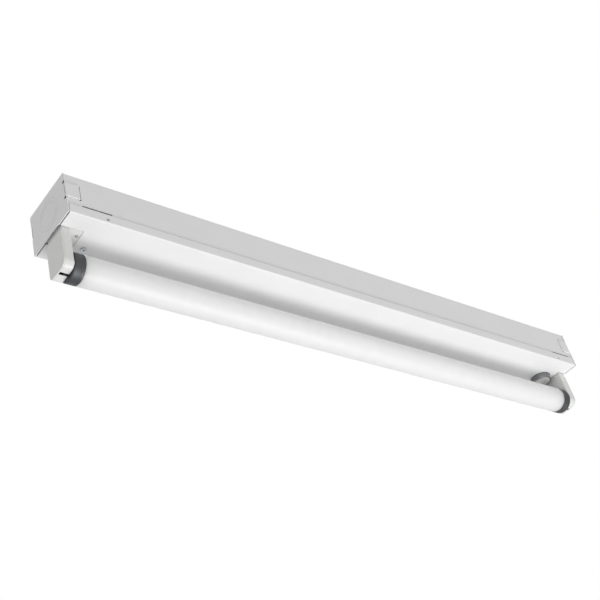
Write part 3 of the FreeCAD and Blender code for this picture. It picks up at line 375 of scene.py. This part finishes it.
# The starter can's aluminium is also coloured darker than bare aluminium. This is painted dark reflection
# on its wall.
can_aluminium = worked("deep drawn aluminium can with painted dark reflection", "#76787b", "#8e9093", 0.34, 0.4 * MM, ROUND_Z)
bronze = worked("rolled phosphor bronze strip", "#b07a48", "#cd9a66", 0.3, 0.25 * MM, ALONG_X)
brass = worked("turned brass", "#b8954c", "#d6b876", 0.26, 0.2 * MM, ROUND_X)
tungsten = worked("drawn tungsten wire", "#5c5c60", "#77777b", 0.4, 0.2 * MM, ALONG_X)
lamination = worked("varnished lamination steel", "#3b3b40", "#56565b", 0.5, 0.5 * MM, ALONG_X)
print("made six worked metals")

# %% [markdown]
# The lamp's glass is coated inside with white phosphor powder. From outside that looks like opal, a
# matt white under a soft shine, so the base is rough white with a slightly rough coat over it, and
# subsurface scattering spreads the light in the powder. A lit lamp would need an emission shader, but
# this one is off. The lamp's stems and the starter's bulb are clear glass, which lets light through.

# %% Glass


def phosphor_glass():
    material, tree, shader, place = start("phosphor coated glass", "#eeefee", 0.55)
    powder = add(tree, "ShaderNodeTexNoise", {"Vector": place, "Scale": grains(9 * MM), "Detail": 5.0})
    tone = add(tree, "ShaderNodeMix", {0: powder.outputs["Fac"], 6: colour("#e0e0e0"),
                                       7: colour("#e8e8e8")}, data_type="RGBA")
    tree.links.new(tone.outputs[2], shader.inputs["Base Color"])
    shader.inputs["Coat Weight"].default_value = 0.5
    shader.inputs["Coat Roughness"].default_value = 0.42
    shader.inputs["Subsurface Weight"].default_value = 1.0
    shader.inputs["Subsurface Radius"].default_value = (1.0, 1.0, 1.0)
    shader.inputs["Subsurface Scale"].default_value = 30 * MM
    return material


def clear_glass():
    material, tree, shader, place = start("clear soda glass", "#f3f7f6", 0.03)
    shader.inputs["Transmission Weight"].default_value = 1.0
    shader.inputs["IOR"].default_value = 1.5
    ripple = add(tree, "ShaderNodeTexNoise", {"Vector": place, "Scale": grains(6 * MM)})
    relief = add(tree, "ShaderNodeBump", {"Height": ripple.outputs["Fac"], "Strength": 0.05,
                                          "Distance": 0.1 * MM})
    tree.links.new(relief.outputs[0], shader.inputs["Normal"])
    return material


opal = phosphor_glass()
clear = clear_glass()
print("made", opal.name, "and", clear.name)

# %% [markdown]
# The choke's winding is wrapped in yellow polyester tape, wound on in overlapping turns. The bands of
# a wave texture are 0.314 times as wide as its grain, so this grain gives turns 17.8 mm wide. They
# could be a modelled strip, but a bump is enough inside the channel.

# %% Winding tape
tape_grain = 56.52 * MM


def winding_tape():
    material, tree, shader, place = start("yellow polyester tape", "#d9b64c", 0.3)
    turns = add(tree, "ShaderNodeTexWave", {"Vector": place, "Scale": grains(tape_grain)},
                wave_profile="SAW")
    tone = add(tree, "ShaderNodeMix", {0: turns.outputs["Fac"], 6: colour("#c9a43c"),
                                       7: colour("#dfc063")}, data_type="RGBA")
    tree.links.new(tone.outputs[2], shader.inputs["Base Color"])
    relief = add(tree, "ShaderNodeBump", {"Height": turns.outputs["Fac"], "Strength": 0.6,
                                          "Distance": 0.1 * MM})
    tree.links.new(relief.outputs[0], shader.inputs["Normal"])
    return material


tape = winding_tape()
print("made", tape.name)

# %% [markdown]
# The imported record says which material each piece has, so one table from its names to the finishes
# above dresses every piece of the model.

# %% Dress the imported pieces
finish_of = {
    "white_enamel_steel": enamel,
    "zinc_plated_steel": zinc,
    "white_polycarbonate": polycarbonate,
    "phosphor_bronze": bronze,
    "phosphor_coated_glass": opal,
    "cap_aluminium": cap_aluminium,
    "phenolic_board": phenolic,
    "pin_brass": brass,
    "clear_glass": clear,
    "tungsten_wire": tungsten,
    "starter_can_aluminium": can_aluminium,
    "film_capacitor": lacquer,
    "lamination_steel": lamination,
    "winding_tape": tape,
    "grey_polyamide": grey_polyamide,
    "black_nylon": black_nylon,
    "brown_pvc": brown_pvc,
    "blue_pvc": blue_pvc,
    "green_yellow_pvc": earth_pvc,
    "white_pvc": white_pvc,
}
slot_of = {row["node"]: row["material_slot"] for row in frame["record"]["subparts"]}
body_of = {}
for body, nodes in frame["record"]["behaviour"]["bodies"].items():
    for node in nodes:
        body_of[node] = body
for node, piece in frame["nodes"].items():
    piece.data.materials.clear()
    piece.data.materials.append(finish_of[slot_of[node]])
print("dressed", len(slot_of), "pieces")

# %% [markdown]
# The imported pieces have the right shape with knife edges, and no pressed or moulded edge is like that.
# So half of them get a copy whose outer edges are rounded. A bevel in the shader would only look round,
# and the mesh itself would stay sharp. A imported mesh is loose triangles, so the copy is
# merged and its flat faces are made whole before anything else is done to it.

# %% Copies to work on
hair = 0.01 * MM         # two places closer than this count as one
merge_distance = 0.001 * MM
flat_angle = math.radians(0.4)


def take(piece):
    bpy.ops.object.select_all(action="DESELECT")
    piece.select_set(True)
    bpy.context.view_layer.objects.active = piece


def edit(piece):
    take(piece)
    bpy.ops.object.mode_set(mode="EDIT")


def leave():
    bpy.ops.object.mode_set(mode="OBJECT")


def pick(piece, part, wanted):
    # In edit mode, selects the vertices, edges or faces that the test wants, and nothing else
    bpy.ops.mesh.select_mode(type=part)
    bpy.ops.mesh.select_all(action="DESELECT")
    work = bmesh.from_edit_mesh(piece.data)
    items = {"VERT": work.verts, "EDGE": work.edges, "FACE": work.faces}[part]
    chosen = [item for item in items if wanted(item)]
    for item in chosen:
        item.select_set(True)
    work.select_flush_mode()
    bmesh.update_edit_mesh(piece.data)
    return len(chosen)


def copy_of(node):
    piece = bpy.data.objects.new(node + "_made", frame["nodes"][node].data.copy())
    bpy.context.scene.collection.objects.link(piece)
    take(piece)
    bpy.ops.mesh.customdata_custom_splitnormals_clear()
    edit(piece)
    bpy.ops.mesh.select_all(action="SELECT")
    bpy.ops.mesh.remove_doubles(threshold=merge_distance)
    bpy.ops.mesh.dissolve_limited(angle_limit=flat_angle)
    leave()
    return piece


def hand_over(piece, *nodes):
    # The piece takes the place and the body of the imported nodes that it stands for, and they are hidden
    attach(piece, body_of[nodes[0]])
    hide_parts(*nodes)


print("ready to copy", len(frame["nodes"]), "pieces")

# %% [markdown]
# An edge is rounded where it stands out by more than 30 degrees, and the fine score grooves of the
# knockouts are spared, because they are narrower than the rounding. Bevelling by hand, edge by edge,
# would give the same shape, but a bevel modifier that reads weights does every edge in one go. After it
# the flat faces would shade as if they were bent, and weighted normals keep them flat.

# %% Round the edges
sharp_angle = math.radians(30)
shading_angle = math.radians(35)


def soften(piece, width, steps=2, spared=None):
    work = bmesh.new()
    work.from_mesh(piece.data)
    weight = work.edges.layers.float.new("bevel_weight_edge")
    count = 0
    for edge in work.edges:
        if len(edge.link_faces) != 2 or edge.calc_face_angle_signed() < sharp_angle:
            continue
        if spared and spared((edge.verts[0].co + edge.verts[1].co) / 2):
            continue
        edge[weight] = 1.0
        count += 1
    work.to_mesh(piece.data)
    work.free()
    take(piece)
    rounding = piece.modifiers.new("rounding", "BEVEL")
    rounding.limit_method = "WEIGHT"
    rounding.width = width
    rounding.segments = steps
    rounding.use_clamp_overlap = False
    bpy.ops.object.modifier_apply(modifier=rounding.name)
    bpy.ops.object.shade_smooth_by_angle(angle=shading_angle)
    flat = piece.modifiers.new("flat faces", "WEIGHTED_NORMAL")
    flat.keep_sharp = True
    bpy.ops.object.modifier_apply(modifier=flat.name)
    print(piece.name, "rounded edges", count)


# %% [markdown]
# The end plate is blanked, scored for its knockouts and folded. Its tab has a fold with a hole past
# each end, and the hook at the tab's far end is bent round into the channel's slot, so its bend nearly
# fills the slot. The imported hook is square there, so the left copy's hooks are drawn out and their
# bends made round. The left plate's front holes are widened, and the rear holes of both are closed.
# A plate could be modelled anew from a plane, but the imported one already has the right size.

# %% End plates
hole_heights = (-9.5 * MM, -26.1 * MM)
hole_across = 26.6 * MM
hole_reach = 1.35 * MM       # a hole's wall lies nearer to its middle than this
wall_normal_x = 0.5          # and faces sideways, so the X of its normal is below this
hole_growth = 1.25
tab_across = 28.5 * MM
inside_tabs = 25.0 * MM
hook_depth = 12.2 * MM
hook_growth = 0.9 * MM
bend_radius = 1.0 * MM
knockout_middle_z = -21.25 * MM
knockout_reach = 14.6 * MM
score_depth = 0.25 * MM
sheet_rounding = 0.12 * MM


def end_plate(name):
    node = "end_plate_" + name
    piece = copy_of(node)
    low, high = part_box(node)
    outer_x = low.x if name == "left" else high.x

    def hole(side, height):
        # The middle of one hole, and the test that tells which vertices stand round it
        middle = Vector((outer_x, side * hole_across, height))
        return middle, lambda v: (Vector((outer_x, v.co.y, v.co.z)) - middle).length < hole_reach

    edit(piece)
    for height in hole_heights:
        if name == "left":
            middle, round_it = hole(-1, height)
            pick(piece, "VERT", round_it)
            bpy.ops.transform.resize(value=(1, hole_growth, hole_growth), center_override=middle)
        middle, round_it = hole(1, height)
        closed = pick(piece, "FACE", lambda f: abs(f.normal.x) < wall_normal_x
                      and all(map(round_it, f.verts)))
        bpy.ops.mesh.delete(type="FACE")
        print("walls of the rear hole closed", closed)
    bpy.ops.mesh.select_all(action="SELECT")
    bpy.ops.mesh.fill_holes(sides=0)
    if name == "left":
        hook_x = outer_x + hook_depth
        moved = pick(piece, "VERT", lambda v: abs(v.co.x - hook_x) < hair and abs(v.co.y) > inside_tabs)
        bpy.ops.transform.translate(value=(hook_growth, 0, 0))
        hook_x += hook_growth
        bent = pick(piece, "EDGE", lambda e: all(
            abs(v.co.x - hook_x) < hair and abs(abs(v.co.y) - tab_across) < hair for v in e.verts))
        bpy.ops.mesh.bevel(offset=bend_radius, segments=4, affect="EDGES")
        print("hook corners moved", moved, "and bends rounded", bent)
    leave()

    def in_score(point):
        in_face = abs(point.x - outer_x) < score_depth
        return in_face and math.hypot(point.y, point.z - knockout_middle_z) < knockout_reach

    soften(piece, sheet_rounding, spared=in_score)
    hand_over(piece, node)
    return piece


end_plates = [end_plate("left"), end_plate("right")]
print("made", [plate.name for plate in end_plates])

# %% [markdown]
# Blocks cut out of a piece with a boolean are the quickest way to a notch, and a press tool makes it in
# the same way. A cutter is a box between two corners, and it is removed once it has cut.

# %% Cutters


def cutter(low, high):
    bpy.ops.object.select_all(action="DESELECT")
    bpy.ops.mesh.primitive_cube_add(size=1, location=(Vector(low) + Vector(high)) / 2)
    block = bpy.context.object
    block.scale = Vector(high) - Vector(low)
    bpy.ops.object.transform_apply(location=True, rotation=True, scale=True)
    return block


def cut_away(piece, block):
    take(piece)
    tool = piece.modifiers.new("cut", "BOOLEAN")
    tool.operation = "DIFFERENCE"
    tool.solver = "EXACT"
    tool.object = block
    bpy.ops.object.modifier_apply(modifier=tool.name)
    bpy.data.objects.remove(block)


print("cutters are ready")

# %% [markdown]
# The channel is roll formed from the same strip as the end plates. Behind each hole of an end plate its
# wall is notched, so that the hole looks into the dark of the channel. The scores of the knockouts in
# its back are spared when its edges are rounded.

# %% Channel
notch_depth = 4.0 * MM
notch_half_height = 1.6 * MM
notch_outer_y = -27.3 * MM
notch_inner_y = -26.5 * MM
back_score_half_width = 12 * MM
back_score_from_middle = 245 * MM

channel = copy_of("channel")
channel_low, channel_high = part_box("channel")
for height in hole_heights:
    for x0, x1 in ((channel_low.x - MM, channel_low.x + notch_depth),
                   (channel_high.x - notch_depth, channel_high.x + MM)):
        cut_away(channel, cutter((x0, notch_outer_y, height - notch_half_height),
                                 (x1, notch_inner_y, height + notch_half_height)))


def in_back_score(point):
    in_back = point.z > -score_depth
    return in_back and abs(point.y) < back_score_half_width and abs(point.x) > back_score_from_middle


soften(channel, sheet_rounding, spared=in_back_score)
hand_over(channel, "channel")
print("channel has", len(channel.data.polygons), "faces")

# %% [markdown]
# A lampholder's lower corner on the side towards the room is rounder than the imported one. A bevel can't
# widen an arc that is already there, so a block with a round hollow in it cuts the corner to its shape.

# %% Lampholder corners
corner_radius = 7.4 * MM
corner_sides = 128
holder_half_width = 12.0 * MM
holder_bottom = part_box("lampholder_body_left")[0].z


def round_corner(piece):
    ends = [vertex.co.x for vertex in piece.data.vertices]
    x0, x1 = min(ends) - MM, max(ends) + MM
    centre_y = corner_radius - holder_half_width
    centre_z = holder_bottom + corner_radius
    block = cutter((x0, -holder_half_width - MM, holder_bottom - MM), (x1, centre_y, centre_z))
    bpy.ops.mesh.primitive_cylinder_add(vertices=corner_sides, radius=corner_radius,
                                        depth=x1 - x0 + 2 * MM,
                                        location=((x0 + x1) / 2, centre_y, centre_z),
                                        rotation=(0, math.pi / 2, 0))
    cut_away(block, bpy.context.object)
    cut_away(piece, block)


print("corner radius", round(corner_radius / MM, 1), "mm")

# %% [markdown]
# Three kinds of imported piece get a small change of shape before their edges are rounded. The sheared
# upper edge of the cover's flanges is thinned, so that its shadow is a faint line. The heads of the two
# rivets at the left lampholder hardly show in the photograph, so they are drawn in. The top edge of a
# lampholder's back is lowered, which widens the dark line above it. Scaling the whole piece would do
# for none of them, so each change moves only the vertices or edges that it picks.

# %% Small changes of shape
flange_thinning = 0.42 * MM
rivet_shrink = 0.72
rivet_head_height = 0.5 * MM
rivet_margin = 0.1 * MM
back_drop = 0.7 * MM


def thin_flanges(piece, low, high):
    edit(piece)
    sheared = pick(piece, "EDGE", lambda e: all(
        abs(v.co.z - high.z) < hair and abs(abs(v.co.y) - high.y) < hair for v in e.verts))
    bpy.ops.mesh.bevel(offset=flange_thinning, segments=2, affect="EDGES")
    leave()
    print("flange edges thinned", sheared)


def draw_in_heads(piece, low, high):
    head = (high.x - low.x) / 2
    edit(piece)
    for middle_y in (low.y + head, high.y - head):
        pick(piece, "VERT", lambda v: v.co.z < low.z + rivet_head_height
             and abs(v.co.y - middle_y) < head + rivet_margin)
        bpy.ops.transform.resize(value=(rivet_shrink, rivet_shrink, 1),
                                 center_override=(low.x + head, middle_y, low.z))
    leave()


def lower_back(piece, low, high):
    edit(piece)
    pick(piece, "VERT", lambda v: abs(v.co.z - high.z) < hair)
    bpy.ops.transform.translate(value=(0, 0, -back_drop))
    leave()
    round_corner(piece)


change_of = {"channel_cover": thin_flanges, "lampholder_rivets": draw_in_heads,
             "lampholder_back_left": lower_back, "lampholder_back_right": lower_back}
print("pieces that change shape", len(change_of))

# %% [markdown]
# The cover and the brackets are plain pressings, and the moulded pieces have larger radii, because a
# mould can't be filled into a sharp corner. Each could be modelled anew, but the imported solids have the
# right form already, so one rounding for each, in millimetres, is enough.

# %% Pressed and moulded pieces
rounding_of = {
    "channel_cover": 0.14,
    "holder_bracket_left": 0.12,
    "holder_bracket_right": 0.12,
    "ballast_base": 0.12,
    "lampholder_back_left": 0.25,
    "lampholder_back_right": 0.25,
    "lampholder_rotor_left": 0.15,
    "lampholder_rotor_right": 0.15,
    "starter_base": 0.3,
    "starter_socket": 0.3,
    "terminal_block": 0.25,
    "cable_bushing": 0.35,
    "ballast_terminals": 0.3,
    "ballast_coil": 1.6,
    "ballast_core": 0.2,
    "lampholder_rivets": 0.15,
    "end_plate_rivets": 0.15,
    "ballast_screws": 0.15,
    "terminal_screws": 0.12,
    "terminal_block_screw": 0.12,
    "starter_socket_screw": 0.15,
    "earth_screw": 0.15,
}
large_rounding = 1.0         # a wider one gets four steps, so that its curve stays smooth
for node, width in rounding_of.items():
    piece = copy_of(node)
    if node in change_of:
        change_of[node](piece, *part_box(node))
    soften(piece, width * MM, steps=4 if width > large_rounding else 2)
    hand_over(piece, node)
print("pieces rounded", len(rounding_of))

# %% [markdown]
# Small helpers for what comes next: one rounds all the edges of a box, one turns a piece about an
# upright axis, and one joins a detail to the piece that it belongs to.

# %% Round, turn and join


def round_box(box, width, steps):
    edit(box)
    bpy.ops.mesh.select_all(action="SELECT")
    bpy.ops.mesh.bevel(offset=width, segments=steps, affect="EDGES")
    leave()


def turn(piece, degrees, centre):
    edit(piece)
    bpy.ops.mesh.select_all(action="SELECT")
    bpy.ops.transform.rotate(value=math.radians(degrees), orient_axis="Z", center_override=centre)
    leave()


def join(piece, detail):
    bpy.ops.object.select_all(action="DESELECT")
    detail.select_set(True)
    piece.select_set(True)
    bpy.context.view_layer.objects.active = piece
    bpy.ops.object.join()


print("helpers are ready")

# %% [markdown]
# The lampholder's body is moulded in one piece. A thin web closes the slot above its back, to keep dust
# out, and stands a little inside, so the slot reads as a dark line and not as a hole. The web could be
# extruded from the body's own faces, but a box with rounded edges, joined to it, is simpler to place.

# %% Lampholder bodies
body_rounding = 0.25 * MM
web_thickness = 0.3 * MM
web_half_width = 10.3 * MM
web_top = -41.3 * MM
web_inset = 1.2 * MM
web_overlap = 0.5 * MM
web_rounding = 0.08 * MM


def lampholder_body(name):
    node = "lampholder_body_" + name
    piece = copy_of(node)
    round_corner(piece)
    soften(piece, body_rounding)
    back_low, back_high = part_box("lampholder_back_" + name)
    x0 = back_low.x + web_inset if name == "left" else back_high.x - web_inset - web_thickness
    web = cutter((x0, -web_half_width, back_high.z - back_drop - web_overlap),
                 (x0 + web_thickness, web_half_width, web_top))
    round_box(web, web_rounding, steps=2)
    web.data.materials.append(polycarbonate)
    join(piece, web)
    hand_over(piece, node)
    return piece


bodies = [lampholder_body("left"), lampholder_body("right")]
print("lampholder faces", [len(body.data.polygons) for body in bodies])

# %% [markdown]
# Round pieces are built as a potter throws them: a circle of points is extruded from ring to ring
# along the axis, and each new ring is scaled to its radius. A shell's rings run along its outside and
# back along its inside, and where the last ring meets the first they are merged. Otherwise the two
# ends are closed. Spinning a drawn profile would do it too, but rings need only places and radii.

# %% Turned pieces
ring_shading_angle = math.radians(30)
ring_merge_distance = 0.002 * MM


def turned(name, foot, along, rings, sides=96):
    # rings holds pairs of a distance from the foot and a radius. along is a unit axis, or minus one
    bpy.ops.object.select_all(action="DESELECT")
    place, radius = rings[0]
    lie = along.to_track_quat("Z", "Y").to_euler()
    bpy.ops.mesh.primitive_circle_add(vertices=sides, radius=radius, fill_type="NOTHING",
                                      location=foot + along * place, rotation=lie)
    piece = bpy.context.object
    piece.name = name
    bpy.ops.object.transform_apply(location=True, rotation=True, scale=True)
    bpy.ops.object.mode_set(mode="EDIT")
    bpy.ops.mesh.select_all(action="SELECT")
    for next_place, next_radius in rings[1:]:
        bpy.ops.mesh.extrude_region_move(
            TRANSFORM_OT_translate={"value": along * (next_place - place)})
        grow = next_radius / radius
        if next_radius != radius:
            bpy.ops.transform.resize(value=(grow, grow, grow),
                                     center_override=foot + along * next_place)
        place, radius = next_place, next_radius
    bpy.ops.mesh.select_all(action="SELECT")
    bpy.ops.mesh.remove_doubles(threshold=ring_merge_distance)
    if rings[0] != rings[-1]:
        bpy.ops.mesh.fill_holes(sides=0)
    bpy.ops.mesh.select_all(action="SELECT")
    bpy.ops.mesh.normals_make_consistent(inside=False)
    leave()
    bpy.ops.object.shade_smooth_by_angle(angle=ring_shading_angle)
    return piece


def in_metres(rings_in_mm):
    return [(place * MM, radius * MM) for place, radius in rings_in_mm]


print("ready to turn round pieces")

# %% [markdown]
# The lamp is a drawn glass tube whose ends are necked in to take the caps. The shoulder is a soft
# curve, left by the flame. A cylinder with its ends scaled in would have a hard crease there, so the
# shoulder gets several rings.

# %% Lamp tube
ALONG = {"left": Vector((1, 0, 0)), "right": Vector((-1, 0, 0))}
lamp_axis_z = -73.4 * MM
neck_radius = 12.4 * MM
neck_length = 9.1 * MM
shoulder = [(0.0, 12.4), (0.3, 12.42), (0.6, 12.5), (0.95, 12.6), (1.35, 12.67), (1.8, 12.7)]


def foot_of(node, name):
    # Where a piece on the lamp's axis starts, at the end of the light that it faces
    low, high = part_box(node)
    return Vector((low.x if name == "left" else high.x, 0, lamp_axis_z))


glass_low, glass_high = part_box("lamp_glass")
glass_length = glass_high.x - glass_low.x
rings = [(0.0, neck_radius)]
rings += [(neck_length + place * MM, radius * MM) for place, radius in shoulder]
rings += [(glass_length - place, radius) for place, radius in reversed(rings)]
tube = turned("lamp_tube", foot_of("lamp_glass", "left"), ALONG["left"], rings, sides=128)
tube.data.materials.append(opal)
hand_over(tube, "lamp_glass")
print("tube", round(glass_length / MM, 1), "mm long")

# %% [markdown]
# A lamp cap is an aluminium cup, spun over at its mouth, with a groove rolled in behind it and eight
# stakes punched in the groove, which grip the cement on the glass. The groove is a few more rings, and
# a stake is a small patch of the groove's ring that is pressed towards the axis. Both could be a bump
# in the material, but then the mesh itself would lack them.

# %% Lamp caps
cap_rings = [(0.6, 9.06), (0.0, 9.06), (0.0, 11.95), (0.1, 12.3), (0.3, 12.55), (0.6, 12.7),
             (0.95, 12.75), (6.0, 12.75), (6.2, 12.7), (6.4, 12.62), (6.65, 12.6), (6.9, 12.62),
             (7.1, 12.7), (7.3, 12.75), (8.9, 12.75), (9.15, 12.73), (9.35, 12.66), (9.48, 12.56),
             (9.5, 12.46), (9.3, 12.43), (0.6, 12.43), (0.6, 9.06)]
groove_place = 6.65 * MM
groove_half_width = 0.4 * MM
groove_inside = 12.5 * MM
stake_count = 8
stake_half_angle = math.radians(4)
stake_press = 0.985


def lamp_cap(name):
    node = "lamp_cap_" + name
    foot = foot_of(node, name)
    piece = turned(node + "_spun", foot, ALONG[name], in_metres(cap_rings))
    groove = foot + ALONG[name] * groove_place
    edit(piece)
    for step in range(stake_count):
        angle = step * math.tau / stake_count

        def in_stake(vertex):
            around = math.atan2(vertex.co.z - lamp_axis_z, vertex.co.y) % math.tau
            apart = abs((around - angle + math.pi) % math.tau - math.pi)
            outside = math.hypot(vertex.co.y, vertex.co.z - lamp_axis_z) > groove_inside
            in_groove = abs(vertex.co.x - groove.x) < groove_half_width
            return outside and in_groove and apart < stake_half_angle

        pick(piece, "VERT", in_stake)
        bpy.ops.transform.resize(value=(1, stake_press, stake_press), center_override=groove)
    leave()
    piece.data.materials.append(cap_aluminium)
    hand_over(piece, node)
    return piece


caps = [lamp_cap("left"), lamp_cap("right")]
print("made", [cap.name for cap in caps])

# %% [markdown]
# The starter's can is deep drawn, and its mouth is turned in over a plastic disc. Its rings run down
# the outside of the wall, round the mouth's rim and back up the inside. A closed cylinder would be
# simpler, but the inner side of the rim shows.

# %% Starter can
can_rings = [(31.5, 10.0), (31.5, 10.5), (1.3, 10.5), (0.7, 10.42), (0.3, 10.2), (0.08, 9.9),
             (0.0, 9.5), (0.06, 9.2), (0.3, 9.05), (1.4, 9.0), (1.4, 10.0), (31.5, 10.0)]
can_low, can_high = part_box("starter_can")
can_foot = Vector(((can_low.x + can_high.x) / 2, (can_low.y + can_high.y) / 2, can_low.z))
up = Vector((0, 0, 1))
can = turned("starter_can_drawn", can_foot, up, in_metres(can_rings))
can.data.materials.append(can_aluminium)
hand_over(can, "starter_can")
print("starter's end at", round(can_foot.z / MM, 1), "mm")

# %% [markdown]
# The disc in the can's mouth is light plastic, with a bar across it for finger and thumb, because the
# starter goes in and out with an eighth of a turn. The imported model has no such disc, so it is a piece
# of its own, which rides with the starter. The bar could be extruded from the disc, but a box that is
# rounded, turned and joined to it leaves the disc's rings whole.

# %% Starter disc
disc_edge = [(1.35, 8.98), (0.75, 8.98), (0.65, 8.9), (0.6, 8.75)]
bar_half_width = 1.3 * MM
bar_half_length = 7.2 * MM
bar_bottom = 0.1 * MM
bar_top = 0.9 * MM
bar_rounding = 0.3 * MM
bar_turn = 22

disc = turned("starter_end_disc", can_foot, up, in_metres(disc_edge))
bar = cutter(can_foot + Vector((-bar_half_width, -bar_half_length, bar_bottom)),
             can_foot + Vector((bar_half_width, bar_half_length, bar_top)))
round_box(bar, bar_rounding, steps=3)
turn(bar, bar_turn, can_foot)
bpy.ops.object.shade_smooth_by_angle(angle=ring_shading_angle)
join(disc, bar)
disc.data.materials.append(polycarbonate)
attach(disc, "starter")
print("disc has", len(disc.data.polygons), "faces")

# %% [markdown]
# The cover's screw is a pan head with a cross recess. The recess is two tapered blades cut out of the
# head, as the punch of the heading machine leaves it. A dark cross on a flat head would do from afar,
# but not close up.

# %% Cover screw
screw_outside = [(0.7, 1.3), (0.74, 1.9), (0.86, 2.2), (1.05, 2.42), (1.3, 2.5), (1.8, 2.5),
                 (1.8, 1.45), (7.4, 1.45), (7.8, 1.1)]
recess_half_length = 1.6 * MM
recess_half_width = 0.42 * MM
recess_depth = 1.7 * MM
recess_taper = (0.45, 0.8, 1)

screw_low, screw_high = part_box("cover_screw")
screw_foot = Vector(((screw_low.x + screw_high.x) / 2, (screw_low.y + screw_high.y) / 2, screw_low.z))
screw = turned("cover_screw_headed", screw_foot, up, in_metres(screw_outside), sides=48)
for degrees in (0, 90):
    blade = cutter(screw_foot + Vector((-recess_half_length, -recess_half_width, -MM)),
                   screw_foot + Vector((recess_half_length, recess_half_width, recess_depth)))
    edit(blade)
    pick(blade, "VERT", lambda v: v.co.z > screw_foot.z)
    bpy.ops.transform.resize(value=recess_taper, center_override=screw_foot)
    leave()
    turn(blade, degrees, screw_foot)
    cut_away(screw, blade)
take(screw)
bpy.ops.object.shade_smooth_by_angle(angle=ring_shading_angle)
screw.data.materials.clear()
screw.data.materials.append(zinc)
hand_over(screw, "cover_screw")
print("screw has", len(screw.data.polygons), "faces")

# %% [markdown]
# The last step prints that the script has ended.

# %% End
print("script ended")
